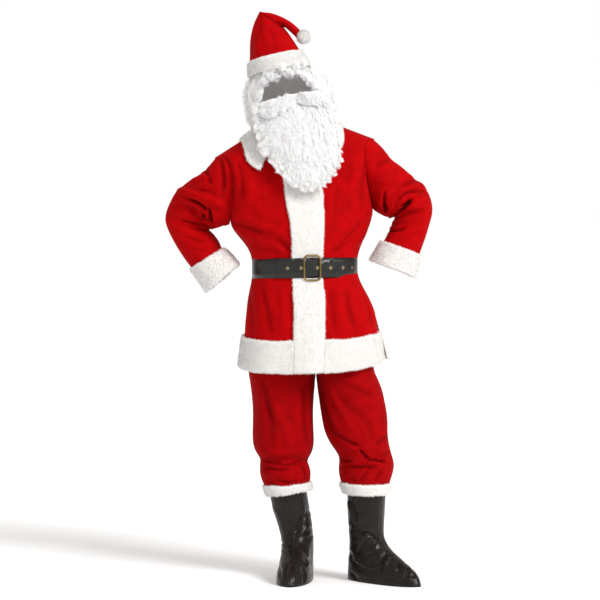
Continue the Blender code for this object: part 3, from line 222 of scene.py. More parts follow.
def rimPlaces(node):
    # points along the edges where the solid's skin turns into its rim
    form = nodeForm(node)
    found = []
    for edge in sharpEdges(form):
        one, two = (np.array(vert.co) for vert in edge.verts)
        found += [one + (two - one) * k / 5 for k in range(5)]
    form.free()
    return found


def rimShare(points, rims, near, far):
    # 0 at the rims and 1 further in
    tree = KDTree(len(rims))
    for k, place in enumerate(rims):
        tree.insert(place, k)
    tree.balance()
    away = np.array([tree.find(point)[2] for point in points])
    return softStep(away, near, far)


def readMesh(mesh):
    points = np.empty(len(mesh.vertices) * 3)
    normals = np.empty(len(mesh.vertices) * 3)
    mesh.vertices.foreach_get("co", points)
    mesh.vertices.foreach_get("normal", normals)
    return points.reshape(-1, 3), normals.reshape(-1, 3)


def writeMesh(mesh, points):
    mesh.vertices.foreach_set("co", np.ascontiguousarray(points, dtype=np.float32).ravel())
    mesh.update()


def surfaceOf(mesh):
    faces = [tuple(each.vertices) for each in mesh.polygons]
    return BVHTree.FromPolygons([vert.co for vert in mesh.vertices], faces)


def nodeSurface(name):
    return surfaceOf(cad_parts[name].data)


def awayFrom(surface, points, furthest=0.05):
    return np.array([(surface.find_nearest(point, furthest)[3] or furthest) for point in points])


# materials


class Recipe:
    # a small helper that strings shader nodes together on object coordinates
    def __init__(self, name):
        self.material = bpy.data.materials.new(name)
        self.material.use_nodes = True
        self.tree = self.material.node_tree
        self.shader = self.tree.nodes["Principled BSDF"]
        self.place = self.tree.nodes.new("ShaderNodeTexCoord").outputs["Object"]

    def node(self, kind, links=(), **values):
        made = self.tree.nodes.new(kind)
        for key, value in values.items():
            if key in made.inputs:
                made.inputs[key].default_value = value
            else:
                setattr(made, key, value)
        for name, source in dict(links).items():
            self.tree.links.new(source, made.inputs[name])
        return made

    def noise(self, size, detail=2.0, roughness=0.5, stretch=None):
        place = self.place
        if stretch:
            place = self.node("ShaderNodeMapping", {"Vector": place}, Scale=stretch).outputs["Vector"]
        looks = {"Scale": 1.0 / size, "Detail": detail, "Roughness": roughness}
        return self.node("ShaderNodeTexNoise", {"Vector": place}, **looks).outputs["Fac"]

    def ramp(self, source, stops, redShade):
        made = self.node("ShaderNodeValToRGB", {"Fac": source})
        ramp = made.color_ramp
        while len(ramp.elements) < len(stops):
            ramp.elements.new(0.5)
        for element, (place, (red, green, blue)) in zip(ramp.elements, stops):
            element.position = place
            element.color = (red * redShade, green, blue, 1)
        return made.outputs["Color"]

    def blend(self, share, one, two):
        made = self.node("ShaderNodeMix", data_type="RGBA")
        for number, source in ((0, share), (6, one), (7, two)):
            if isinstance(source, (int, float)):
                made.inputs[number].default_value = source
            elif isinstance(source, tuple):
                made.inputs[number].default_value = (*source, 1)
            else:
                self.tree.links.new(source, made.inputs[number])
        return made.outputs[2]

    def into(self, source, name):
        self.tree.links.new(source, self.shader.inputs[name])


def makeFinish(name, finish, redShade=1.0):
    # a factor below 1 darkens the red, as painted shade; a coarse noise colours the whole, and a finer one may
    # be mixed in
    made = Recipe(name)
    noises = {key: made.noise(*each) for key, each in finish["noises"].items()}
    layers = [made.ramp(noises[key], stops, redShade) for key, stops in finish["colours"].items()]
    colour = made.blend(finish["finer"], *layers) if "finer" in finish else layers[0]
    # painted shade: the deeper a point lies in a fold, the more its colour turns to the dark fold colour
    if "fold" in finish:
        sunk = made.node("ShaderNodeAttribute", attribute_name="sunk").outputs["Fac"]
        colour = made.blend(sunk, colour, finish["fold"])
    made.into(colour, "Base Color")
    setInputs(made.shader, finish["skin"])
    if "rough" in finish:
        key, low, high = finish["rough"]
        spread = made.node("ShaderNodeMapRange", {0: noises[key]})
        spread.inputs[3].default_value, spread.inputs[4].default_value = low, high
        made.into(spread.outputs[0], "Roughness")
    first, *more = finish["relief"]
    height = noises[first]
    if more:
        share, second = more
        both = made.node("ShaderNodeMath", {0: height, 2: noises[second]}, operation="MULTIPLY_ADD")
        both.inputs[1].default_value = share
        height = both.outputs[0]
    strength, distance = finish["bump"]
    bump = made.node("ShaderNodeBump", {"Height": height}, Strength=strength, Distance=distance)
    made.into(bump.outputs["Normal"], "Normal")
    return made.material


# Noises: size in metres, detail, roughness, stretch. Colours: the noise that picks them, and its stops.
# Rough: its noise, lowest and highest. Relief: a noise, and maybe its share and a second noise under it.
# Bump: strength and height in metres. Fold shade: the colour painted into a fold as its shade, as deep as the
# sunk attribute says.
velourFinish = {
    "noises": {"crush": (0.035, 3, 0.55), "nap": (0.0016, 3), "brushed": (0.009, 2, 0.6, (1, 1, 0.45))},
    "colours": {
        "crush": [
            (0.30, (0.33, 0.0006, 0.0014)),
            (0.52, (0.40, 0.0008, 0.0018)),
            (0.74, (0.47, 0.0012, 0.0026)),
        ],
        "nap": [(0.3, (0.28, 0.0005, 0.0012)), (0.7, (0.50, 0.0013, 0.0030))],
    },
    "finer": 0.3,
    "fold": (0.09, 0.0002, 0.0008),
    "skin": {
        "Sheen Weight": 0.10,
        "Sheen Roughness": 0.35,
        "Sheen Tint": (1.0, 0.06, 0.05, 1),
        "Specular IOR Level": 0.04,
    },
    "rough": ("crush", 0.78, 0.92),
    "relief": ("brushed", 1.4, "nap"),
    "bump": (0.55, 0.0012),
}
plushFinish = {
    "noises": {"clumps": (0.008, 3, 0.6), "fibres": (0.0014, 2, 0.6, (1, 1, 0.35))},
    "colours": {
        "clumps": [(0.25, (0.82, 0.805, 0.785)), (0.6, (0.88, 0.865, 0.848))],
        "fibres": [(0.25, (0.74, 0.722, 0.70)), (0.7, (0.88, 0.865, 0.848))],
    },
    "finer": 0.25,
    "skin": {"Sheen Weight": 0.4, "Sheen Roughness": 0.6, "Specular IOR Level": 0.12, "Roughness": 0.95},
    "relief": ("fibres", 0.5, "clumps"),
    "bump": (0.6, 0.0015),
}
hairFinish = {
    "noises": {"locks": (0.02, 2, 0.5), "strands": (0.0012, 2, 0.6, (1, 1, 0.3))},
    "colours": {
        "locks": [(0.3, (0.92, 0.918, 0.915)), (0.65, (0.97, 0.97, 0.97))],
        "strands": [(0.3, (0.78, 0.775, 0.77)), (0.7, (0.96, 0.96, 0.96))],
    },
    "finer": 0.2,
    "skin": {"Specular IOR Level": 0.2, "Sheen Weight": 0.5, "Sheen Roughness": 0.6},
    "rough": ("strands", 0.5, 0.7),
    "relief": ("strands",),
    "bump": (0.5, 0.0008),
}
beltFinish = {
    "noises": {"wear": (0.03, 3, 0.6), "grain": (0.0011, 3, 0.6)},
    "colours": {"wear": [(0.3, (0.007, 0.007, 0.0066)), (0.7, (0.014, 0.0138, 0.0130))]},
    "skin": {"Specular IOR Level": 0.4},
    "rough": ("wear", 0.24, 0.38),
    "relief": ("grain",),
    "bump": (0.35, 0.0005),
}
bootFinish = {
    "noises": {"dull": (0.05, 3, 0.6), "grain": (0.0013, 2), "ripple": (0.014, 2, 0.5, (1, 1, 1.6))},
    "colours": {"dull": [(0.3, (0.0085, 0.0062, 0.0048)), (0.7, (0.0150, 0.0112, 0.0088))]},
    "skin": {"Specular IOR Level": 0.2},
    "rough": ("dull", 0.24, 0.36),
    "relief": ("grain", 0.12, "ripple"),
    "bump": (0.4, 0.003),
}
brassFinish = {
    "noises": {"tarnish": (0.006, 4, 0.65), "pits": (0.0011, 2)},
    "colours": {"tarnish": [(0.32, (0.12, 0.078, 0.028)), (0.66, (0.34, 0.235, 0.08))]},
    "skin": {"Metallic": 1.0},
    "rough": ("tarnish", 0.48, 0.34),
    "relief": ("pits",),
    "bump": (0.3, 0.0004),
}
paleBrassFinish = {
    **brassFinish,
    "colours": {"tarnish": [(0.32, (0.5, 0.4, 0.24)), (0.66, (0.78, 0.66, 0.44))]},
    "rough": ("tarnish", 0.40, 0.26),
}

velour = makeFinish("redVelour", velourFinish)
# the trousers are the same velour with its red darkened: painted shade, as the light falls off lower down
shadedTrouserVelour = makeFinish("shadedTrouserVelour", velourFinish, redShade=0.76)
plush, hair = makeFinish("whitePlush", plushFinish), makeFinish("whiteHair", hairFinish)
beltSkin, bootSkin = makeFinish("beltVinyl", beltFinish), makeFinish("bootVinyl", bootFinish)
antiqueBrass, paleBrass = makeFinish("antiqueBrass", brassFinish), makeFinish("paleBrass", paleBrassFinish)

# soft folds
# Creases are drawn on a front view in squares of 3.35 mm, counted right and down from its upper left corner.
# Columns: from (across, down), to (across, down), bow to one side, half width in mm, depth in mm.
# A positive depth is a trough with raised lips, and a negative one is a ridge.

square = 0.00335
viewCorner = (-1.02175, 0.474625)
viewMiddle = (-0.017, -0.42)
viewDistance = 7.0  # the drawing is what an eye this far off sees
# the lips are shares of the crease's depth and half width, and the rest are shares along its length
creaseShape = {
    "lip": 0.35,
    "lipAt": 1.9,
    "lipWidth": 0.8,
    "widths": (0.75, 1.25),  # how wide it is at its start and at its end
    "start": (-0.12, 0.22),  # where it starts, and where it is deepest
    "end": (0.72, 1.12),
}
behindShift, behindShare = (0.012, -0.03), 0.7  # the back has the front's creases, moved and shallower


def drawn(across, down):
    return np.array([viewCorner[0] + square * across, viewCorner[1] - square * down])


def onFrontView(points):
    # where each point lies on the front view
    grown = viewDistance / (viewDistance + points[:, 1])
    return viewMiddle + (points[:, [0, 2]] - viewMiddle) * grown[:, None]


def offFrontView(flat, depth):
    # the place at this depth that shows at `flat`
    return viewMiddle + (flat - viewMiddle) * ((viewDistance + depth) / viewDistance)


def creaseField(flat, table):
    # how far each point of the view sinks, in metres
    sunk = np.zeros(len(flat))
    shape = creaseShape
    narrow, wide = shape["widths"]
    for ax, az, bx, bz, bow, width, depth in table:
        one, two = drawn(ax, az), drawn(bx, bz)
        way = two - one
        length = np.linalg.norm(way)
        along = way / length
        side = np.array([-along[1], along[0]])
        share = (flat - one) @ along / length
        mid = bow * square * 4 * share * (1 - share)
        away = (flat - one) @ side - mid
        width = width * millimetre * (narrow + (wide - narrow) * np.clip(share, 0, 1))
        ends = softStep(share, *shape["start"]) * (1 - softStep(share, *shape["end"]))
        across = away / width
        lips = np.exp(-(((np.abs(across) - shape["lipAt"]) / shape["lipWidth"]) ** 2))
        sunk += depth * millimetre * (np.exp(-across**2) - shape["lip"] * lips) * ends
    return sunk


frontTurn, backTurn = (-0.25, 0.15), (0.05, 0.45)  # how far the cloth has to be turned to the front or the back


def facing(outward, back=False):
    return softStep(outward[:, 1], *backTurn) if back else softStep(-outward[:, 1], *frontTurn)


bodyOval = {"middle": -0.01, "halfWidth": 0.21, "halfDepth": 0.12}


def bodyOutward(points):
    across = (points[:, 0] - bodyOval["middle"]) / bodyOval["halfWidth"] ** 2
    return unit(np.stack([across, points[:, 1] / bodyOval["halfDepth"] ** 2, np.zeros(len(points))], axis=1))


def tubeOutward(axis):
    return lambda points: unit(points - nearestOnAxis(points, axis))


sleeveAxes = {
    "right": [
        (-0.25, 0.01, -0.14),
        (-0.33, 0.01, -0.19),
        (-0.40, 0.03, -0.24),
        (-0.35, 0.02, -0.36),
        (-0.28, -0.01, -0.47),
    ],
    "left": [
        (0.18, 0.02, -0.10),
        (0.30, 0.04, -0.15),
        (0.37, 0.05, -0.21),
        (0.34, 0.02, -0.31),
        (0.29, -0.01, -0.43),
    ],
}
legAxes = {
    "right": [(-0.09, 0.0, -0.45), (-0.08, 0.0, -0.80), (-0.06, 0.0, -1.20)],
    "left": [(0.09, -0.01, -0.45), (0.14, -0.02, -0.85), (0.20, -0.04, -1.20)],
}

bodyCreases = [
    (228, 222, 270, 233, -1, 10, 5.0),
    (266, 230, 293, 254, 2, 9, 5.0),
    (230, 213, 292, 242, 1, 12, -4.5),
    (248, 238, 288, 254, 2, 8, -2.6),
    (250, 249, 284, 254, 2, 7, 3.2),
    (236, 158, 240, 206, 3, 10, 4.4),
    (246, 160, 250, 206, 2, 12, -3.6),
    (368, 156, 364, 212, -3, 10, 4.2),
    (354, 160, 351, 224, -1, 13, -4.2),
    (338, 180, 334, 236, -1, 12, 2.6),
    (362, 220, 330, 252, 2, 9, 4.0),
    (366, 232, 338, 256, 2, 9, -3.0),
    (352, 240, 324, 257, 1, 7, 3.0),
    (260, 284, 270, 340, 2, 11, 4.6),
    (248, 288, 252, 334, 1, 9, 3.4),
    (280, 284, 285, 342, 1, 13, -3.6),
    (346, 288, 358, 334, -2, 10, 4.8),
    (330, 284, 338, 340, -2, 11, 3.8),
    (338, 286, 347, 336, -2, 9, -3.0),
    (364, 300, 374, 330, 1, 8, 3.6),
]
sleeveRightCreases = [
    (187, 199, 209, 214, 2.5, 5.5, 10.0),
    (208, 207, 210, 228, 1.5, 5.5, 9.5),
    (199, 217, 207, 221, 0, 4.5, 7.0),
    (180, 220, 209, 226, -1, 4.6, 8.0),
    (177, 189, 226, 208, 1, 11, -7.5),
    (176, 202, 198, 213, 1, 8, 4.0),
    (172, 213, 202, 219, 0, 8, -4.0),
    (176, 230, 206, 234, 1, 8, -4.0),
    (213, 206, 214, 222, 1, 6, -3.0),
    (205, 168, 213, 184, -1, 7, 6.5),
    (191, 181, 214, 176, 1, 8, -5.0),
    (198, 190, 218, 194, 1, 8, 3.0),
    (219, 156, 223, 196, 2, 9, 5.5),
    (226, 160, 227, 200, 2, 8, -3.0),
    (229, 164, 231, 206, 2, 8, 4.0),
    (194, 236, 216, 243, 1, 8, -4.0),
    (182, 236, 208, 241, -1, 6, 4.0),
    (186, 250, 208, 250, 1, 8, 3.0),
    (171, 206, 188, 210, 0, 7, 3.0),
]
sleeveLeftCreases = [
    (385, 191, 389, 217, -3, 5.6, 8.0),
    (390, 217, 412, 198, -2, 5.0, 8.5),
    (400, 207, 410, 201, 0, 4.4, 6.0),
    (381, 192, 381, 212, -2, 8, -4.5),
    (393, 198, 392, 211, -1, 6, -4.0),
    (396, 203, 420, 190, 3.0, 5.6, 6.5),
    (396, 216, 418, 202, -1, 8, -5.0),
    (396, 193, 424, 185, 2, 8, -4.5),
    (386, 231, 406, 227, -1, 5.4, 7.5),
    (390, 223, 410, 219, 1, 7, -3.0),
    (402, 214, 428, 212, 1, 8, 3.6),
    (398, 222, 424, 218, 1, 8, -3.0),
    (372, 183, 398, 177, 1, 13, -6.0),
    (390, 159, 374, 168, -1, 10, 5.0),
    (396, 166, 382, 176, -1, 8, -2.6),
    (416, 179, 402, 189, -1, 10, 4.4),
    (427, 191, 414, 197, -1, 9, 4.4),
    (371, 200, 380, 210, 0, 7, 3.4),
    (408, 236, 424, 232, 1, 7, 3.0),
]
trouserCreases = [
    (260, 458, 284, 464, -1, 5.0, 7.0),
    (282, 465, 309, 459, -1, 4.6, 10.0),
    (264, 468, 290, 469, -1, 5.4, 5.5),
    (260, 472, 300, 476, -1, 10, -4.0),
    (260, 450, 304, 452, -3, 9, -3.4),
    (277, 481, 293, 484, 0, 4.6, 6.0),
    (265, 481, 276, 488, 1, 5, 4.4),
    (301, 464, 305, 483, 2, 7, 6.0),
    (290, 471, 295, 486, 1, 5, 3.6),
    (262, 376, 272, 448, 2, 12, 5.0),
    (268, 394, 292, 448, 2, 14, -5.5),
    (297, 382, 298, 450, 0, 13, -4.5),
    (307, 384, 307, 446, -2, 10, 4.0),
    (320, 386, 336, 438, -3, 9, 7.0),
    (334, 432, 366, 449, -2, 7, 7.0),
    (326, 378, 354, 430, -3, 11, -4.5),
    (342, 384, 376, 399, 1, 9, 4.0),
    (338, 376, 372, 388, 1, 9, -3.4),
    (336, 396, 366, 420, 1, 11, 3.2),
    (346, 400, 376, 424, 1, 11, -3.4),
    (360, 449, 371, 460, -1.5, 4.6, 10.0),
    (370, 460, 387, 462, 0.5, 4.6, 10.5),
    (346, 449, 368, 449, 1, 7, -5.5),
    (364, 464, 392, 468, 1, 7, -4.0),
    (374, 450, 388, 455, -1, 6, -3.4),
    (343, 467, 382, 466, -0.5, 6.5, 7.5),
    (346, 475, 364, 475, 0, 8, -3.4),
    (359, 483, 371, 468, 1, 5.4, 5.4),
    (374, 484, 384, 469, 1, 5.0, 6.4),
    (388, 436, 376, 446, -1, 6, 6.5),
    (391, 453, 379, 457, -1, 5.4, 7.0),
    (340, 458, 352, 462, -1, 6, 6.5),
    (350, 479, 356, 485, 1, 5, 4.0),
    (380, 396, 385, 434, 2, 11, -4.0),
    (366, 420, 374, 444, 1, 10, 3.4),
]
hatCreases = [
    (258, 13, 284, 29, 1.5, 3.0, 5.0),
    (266, 13, 290, 26, 2, 6, -2.5),
    (256, 20, 262, 60, -3, 10, -3.0),
    (266, 24, 290, 48, 3, 9, -3.4),
    (262, 22, 250, 60, -2, 8, 3.4),
    (270, 30, 276, 56, 1, 9, 3.0),
    (288, 22, 300, 32, 1, 5, 2.0),
]
bootCreases = [
    (288, 490, 291, 545, 0, 2.5, 1.9),
    (293, 490, 294, 560, 0, 2.2, 1.7),
    (282, 494, 289, 524, 1, 7.8, 3.6),
    (299, 494, 303, 520, 1, 9.0, -2.9),
    (312, 508, 293, 536, -2, 6.7, 5.8),
    (313, 522, 298, 539, -1, 6.7, -4.0),
    (272, 506, 284, 534, 2, 9.0, -2.9),
    (279, 543, 298, 549, 2, 5.2, 5.8),
    (280, 551, 292, 556, 1, 6.7, -2.9),
    (295, 549, 311, 569, 1, 5.6, -5.0),
    (291, 552, 305, 577, -1, 5.2, 5.0),
    (311, 548, 309, 570, 1, 5.2, 3.6),
    (298, 560, 283, 568, 1, 4.9, 4.3),
    (288, 566, 286, 583, -1, 5.6, 3.6),
    (293, 568, 294, 582, 0, 5.6, -2.9),
    (301, 571, 304, 584, 1, 4.9, 3.3),
    (278, 564, 281, 581, 1, 5.6, 3.3),
    (313, 534, 300, 545, 1, 5.2, 3.9),
    (346, 496, 357, 525, 2, 5.6, 5.8),
    (344, 529, 358, 527, 1, 4.5, 5.4),
    (350, 531, 387, 549, 4.5, 4.9, 7.2),
    (352, 537, 378, 547, 3.5, 7.8, -4.3),
    (372, 537, 357, 556, -3, 4.7, 4.7),
    (380, 542, 363, 554, 2, 5.6, -3.6),
    (357, 556, 373, 566, -2, 4.9, 5.0),
    (373, 567, 388, 549, -3, 4.9, 6.5),
    (368, 558, 384, 552, -1, 5.6, -3.6),
    (386, 552, 382, 576, -3, 4.9, 5.0),
    (392, 552, 385, 575, -2, 5.6, -4.3),
    (389, 559, 399, 568, 2, 4.5, 4.3),
    (397, 561, 394, 577, 3, 4.3, 5.0),
    (402, 561, 400, 581, 3, 4.5, -3.6),
    (406, 563, 404, 581, 3, 4.3, 5.0),
    (412, 569, 411, 582, 2, 3.8, 3.6),
    (395, 577, 417, 577, 1, 3.8, 3.6),
    (384, 578, 401, 584, 1, 4.0, 3.6),
    (352, 562, 376, 573, -1, 7.8, 3.6),
    (350, 572, 357, 581, 1, 5.6, 2.9),
    (345, 547, 353, 561, 1, 5.2, 4.7),
    (366, 498, 369, 528, 0, 12.3, 1.9),
    (377, 498, 379, 530, 0, 11.2, -1.9),
]


def skinWay(points, normals, toward):
    # the skin's own direction, turned outward on both sides of the cloth
    side = np.sum(normals * toward(points), axis=1, keepdims=True)
    return normals * np.where(side < 0, -1.0, 1.0)


def creased(points, outward, creases):
    # creases on the front, and unlike ones behind
    flat = onFrontView(points)
    behind = creaseField(flat + behindShift, creases) * facing(outward, back=True) * behindShare
    return creaseField(flat, creases) * facing(outward) + behind


waveShape = {"large": 0.055, "small": 0.022, "smallShare": 0.4, "upright": 0.55}


def softWaves(points, height, seed):
    # soft uneven waves all over, `height` mm high and longer up and down than across
    stretched = points * np.array([1.0, 1.0, waveShape["upright"]])
    small = waveShape["smallShare"] * softNoise(stretched, waveShape["small"], seed + 1)
    return height * millimetre * (softNoise(stretched, waveShape["large"], seed) + small)


def refine(mesh, toward, creases, limit):
    # splits the edges once more on the outer side, where a crease is deeper than `limit`
    form = bmesh.new()
    form.from_mesh(mesh)
    places = np.array([vert.co[:] for vert in form.verts])
    normals = np.array([vert.normal[:] for vert in form.verts])
    outside = np.sum(normals * toward(places), axis=1) > 0
    marked = outside & (np.abs(creased(places, normals, creases)) > limit)
    edges = [edge for edge in form.edges if all(marked[vert.index] for vert in edge.verts)]
    bmesh.ops.subdivide_edges(form, edges=edges, cuts=1, use_grid_fill=True)
    form.to_mesh(mesh)
    form.free()
    mesh.shade_smooth()


# columns: the way out, the creases, the waves' height in mm, how often the folds are split finer,
# and the flat width, length and area as cut
velourPieces = {
    "jacket_front_right": ("body", bodyCreases, 1.4, 1, (0.36, 0.83, 0.229)),
    "jacket_front_left": ("body", bodyCreases, 1.4, 1, (0.36, 0.83, 0.236)),
    "jacket_back": ("body", bodyCreases, 1.4, 1, (0.64, 0.80, 0.46)),
    "sleeve_right": ("right", sleeveRightCreases, 1.3, 2, (0.46, 0.50, 0.183)),
    "sleeve_left": ("left", sleeveLeftCreases, 1.3, 2, (0.46, 0.50, 0.183)),
    "trousers_front_right": ("legRight", trouserCreases, 1.4, 1, (0.33, 0.74, 0.216)),
    "trousers_back_right": ("legRight", trouserCreases, 1.4, 1, (0.33, 0.74, 0.218)),
    "trousers_front_left": ("legLeft", trouserCreases, 1.4, 1, (0.33, 0.74, 0.216)),
    "trousers_back_left": ("legLeft", trouserCreases, 1.4, 1, (0.33, 0.74, 0.218)),
    "hat": ("hat", hatCreases, 0.8, 2, (0.58, 0.34, 0.107)),
    "waistband": ("body", [], 0.0, 0, (0.96, 0.033, None)),
}
hatAxis = [(-0.09, 0, 0.20), (-0.115, 0, 0.30), (-0.14, 0, 0.385), (-0.09, 0, 0.39), (-0.03, -0.02, 0.365)]
outwardOf = {
    "body": bodyOutward,
    "right": tubeOutward(sleeveAxes["right"]),
    "left": tubeOutward(sleeveAxes["left"]),
    "legRight": tubeOutward(legAxes["right"]),
    "legLeft": tubeOutward(legAxes["left"]),
    "hat": tubeOutward(hatAxis),
}
pieces = {}
beltForm, hatBand = nodeSurface("belt"), nodeSurface("hat_trim")


foldSetup = {
    "finer": (0.0012, 0.0025),  # creases deeper than this are split once, and then once more
    "seam": (0.001, 0.018),  # how far in from a rim the folds begin, and are at their full depth
    "narrowSeam": (0.001, 0.009),
    "beltHold": (0.004, 0.026),
    "hatRim": 0.25,  # only the hat's edges below this height are rims
    "rimRoll": 0.006,  # how wide the swelling along a rim is
    "rimSwell": 0.25,  # and how high, in mm
    "shadeDepth": (0.001, 0.010),  # the depth where painted shade starts in a fold, and how much deeper it is full
    "byBand": 0.006,  # the hat is plush this near its band
    "seed": 11,
}


def markFoldShade(mesh, depths):
    # how deep each point lies in a fold, from 0 to 1, which the velour material reads to paint shade into the
    # fold
    start, full = foldSetup["shadeDepth"]
    mesh.attributes.new("sunk", "FLOAT", "POINT")
    shares = np.clip((depths - start) / full, 0, 1)
    mesh.attributes["sunk"].data.foreach_set("value", shares.astype(np.float32))


# painted shade at the elbows, where the cloth folds in on itself and no light gets in, drawn as in the tables
# above; it darkens the colour and moves nothing
elbowBend = {"sleeve_right": (200, 213), "sleeve_left": (401, 206)}
elbowReach = np.array([11, 14]) * square
elbowPaintedShade = [
    (202, 213, 206, 223, 1, 10, 20.0),
    (209, 212, 212, 226, 1, 7, 18.0),
    (401, 207, 409, 202, -1, 5, 7.0),
    (384, 203, 390, 217, -2, 7, 12.0),
]


def foldedMesh(name, toward, creases, waves, splits):
    # the node's form with its creases, finer where they are, and closed up at the seams
    mesh = fineMesh(name)
    for limit in foldSetup["finer"][:splits]:
        refine(mesh, toward, creases, limit)
    points, normals = readMesh(mesh)
    rims = [place for place in rimPlaces(name) if name != "hat" or place[2] < foldSetup["hatRim"]]
    if name.startswith("sleeve"):
        # the tight bend at the elbow is no rim
        elbow = np.abs(onFrontView(np.array(rims)) - drawn(*elbowBend[name])) < elbowReach
        rims = [place for place, bent in zip(rims, elbow.all(axis=1)) if not bent]
    seam = "narrowSeam" if name.startswith(("boot", "trousers")) else "seam"
    inside = rimShare(points, rims, *foldSetup[seam])
    if name.startswith("jacket"):
        # the belt holds the cloth flat
        inside *= softStep(awayFrom(beltForm, points), *foldSetup["beltHold"])
    way = skinWay(points, normals, toward)
    sunk = creased(points, way, creases)
    moved = points + way * ((softWaves(points, waves, foldSetup["seed"]) - sunk) * inside)[:, None]
    # painted shade only: the elbows darken more, with no change of form
    if name.startswith("sleeve"):
        sunk += creaseField(onFrontView(points), elbowPaintedShade) * facing(way)
    rolled = 1 - rimShare(moved, rims, 0.0, foldSetup["rimRoll"])
    writeMesh(mesh, moved + normals * (rolled * foldSetup["rimSwell"] * millimetre)[:, None])
    # the fold depth paints shade into the velour's colour
    markFoldShade(mesh, sunk * inside)
    return mesh


# the roll's radius, and how far an edge may lie from the sleeve's cloth and from the jacket
seamSetup = {"radius": 0.0015, "fromCloth": 0.0016, "fromPanels": 0.0028}


def seamRoll(name):
    # a narrow roll of velour that closes the seam where a sleeve's edge lies at the jacket
    form = nodeForm(name)
    line = bpy.data.curves.new(name + "_seam", "CURVE")
    line.dimensions, line.bevel_depth, line.bevel_resolution = "3D", seamSetup["radius"], 0
    panels = [nodeSurface(each) for each in ("jacket_front_right", "jacket_front_left", "jacket_back")]
    cloth = surfaceOf(pieces[name].data)
    for edge in sharpEdges(form):
        one, two = (vert.co.copy() for vert in edge.verts)
        places = np.array([one, two, (one + two) / 2])
        toPanels = np.min([awayFrom(panel, places) for panel in panels], axis=0).max()
        if awayFrom(cloth, places).max() > seamSetup["fromCloth"] or toPanels > seamSetup["fromPanels"]:
            continue
        spline = line.splines.new("POLY")
        spline.points.add(1)
        spline.points[0].co, spline.points[1].co = (*one, 1), (*two, 1)
    form.free()
    roll = bpy.data.objects.new(name + "_seam", line)
    bpy.context.scene.collection.objects.link(roll)
    line.materials.append(velour)
    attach(roll, "root")


# corners of the side vent on the wearer's left, drawn on the front view, and the edge of its hem
vent = {"lowest": (370, 400), "highest": (400, 314), "hemEdge": (379, 331), "facing": 0.45}


def inVent(points, normals):
    # the back panel's edge and inner side beside the vent
    place = onFrontView(points)
    low, high, hem = (drawn(*vent[each]) for each in ("lowest", "highest", "hemEdge"))
    near = (place[:, 0] > low[0]) & (place[:, 1] > low[1]) & (place[:, 1] < high[1])
    behindHem = (place[:, 0] > hem[0]) & (place[:, 1] < hem[1])
    return near & (behindHem | (np.sum(normals * bodyOutward(points), axis=1) < vent["facing"]))


for name, (group, creases, waves, splits, (width, length, area)) in velourPieces.items():
    mesh = foldedMesh(name, outwardOf[group], creases, waves, splits)
    # the trousers take the darker velour, which is painted shade
    pieceVelour = shadedTrouserVelour if name.startswith("trousers") else velour
    pieces[name] = addPiece(name + "_cloth", mesh, [pieceVelour, plush], [name])
    if name in ("jacket_back", "jacket_front_left", "hat"):
        # the faces beside the hat band and in the vent are plush
        middles = np.array([each.center[:] for each in mesh.polygons])
        turned = np.array([each.normal[:] for each in mesh.polygons])
        byBand = awayFrom(hatBand, middles) < foldSetup["byBand"]
        white = byBand if name == "hat" else inVent(middles, turned)
        mesh.polygons.foreach_set("material_index", white.astype(np.int32))
for name in ("sleeve_right", "sleeve_left"):
    seamRoll(name)
print("velour", sum(len(each.data.polygons) for each in pieces.values()))

# plush

trunkAxis = [(-0.01, 0, 0.1), (-0.01, 0, -0.8)]
hatBandAxis = [(-0.09, 0, 0.2), (-0.1, 0, 0.4)]
pompomMiddle = [(-0.0046, 0.024, 0.3538), (-0.0046, 0.025, 0.3538)]
# columns: flat width and length, how many tufts, and the line that they stand off from
plushPieces = {
    "hem_trim_front_right": ((0.23, 0.12), 6000, trunkAxis),
    "hem_trim_front_left": ((0.23, 0.12), 6000, trunkAxis),
    "hem_trim_back": ((0.58, 0.12), 11000, trunkAxis),
    "front_trim": ((0.11, 0.77), 10000, trunkAxis),
    "cuff_right": ((0.40, 0.10), 7600, sleeveAxes["right"]),
    "cuff_left": ((0.38, 0.10), 7300, sleeveAxes["left"]),
    "collar": ((0.50, 0.20), 9000, trunkAxis),
    "trouser_cuff_right": ((0.42, 0.04), 3800, legAxes["right"]),
    "trouser_cuff_left": ((0.45, 0.043), 4300, legAxes["left"]),
    "hat_trim": ((0.60, 0.06), 8000, hatBandAxis),
    "pompom": (None, 2400, pompomMiddle),
}
# columns: height in mm, size in metres, seed
plushLumps = [(1.5, 0.03, 30), (1.0, 0.012, 31), (0.6, 0.006, 32)]
plushSwell = {"rim": 0.55, "all": 0.7, "collar": 1.7, "edge": 2.2, "edgeSize": 0.055, "edgeSeed": 33}
for name in plushPieces:
    mesh = fineMesh(name, plushSwell["rim"])
    points, normals = readMesh(mesh)
    lumps = plushSwell["all"]
    for height, size, seed in plushLumps:
        lumps = lumps + height * softNoise(points, size, seed)
    if name == "collar":
        lumps *= plushSwell["collar"]
    points += normals * (lumps * millimetre)[:, None]
    if name.startswith(("hem", "front", "cuff", "trouser")):
        # no straight edges
        uneven = softNoise(points, plushSwell["edgeSize"], plushSwell["edgeSeed"])
        points[:, 2] += uneven * plushSwell["edge"] * millimetre
    writeMesh(mesh, points)
    pieces[name] = addPiece(name + "_plush", mesh, plush, [name])
print("plush base", sum(len(pieces[name].data.polygons) for name in plushPieces))

# fur and hair


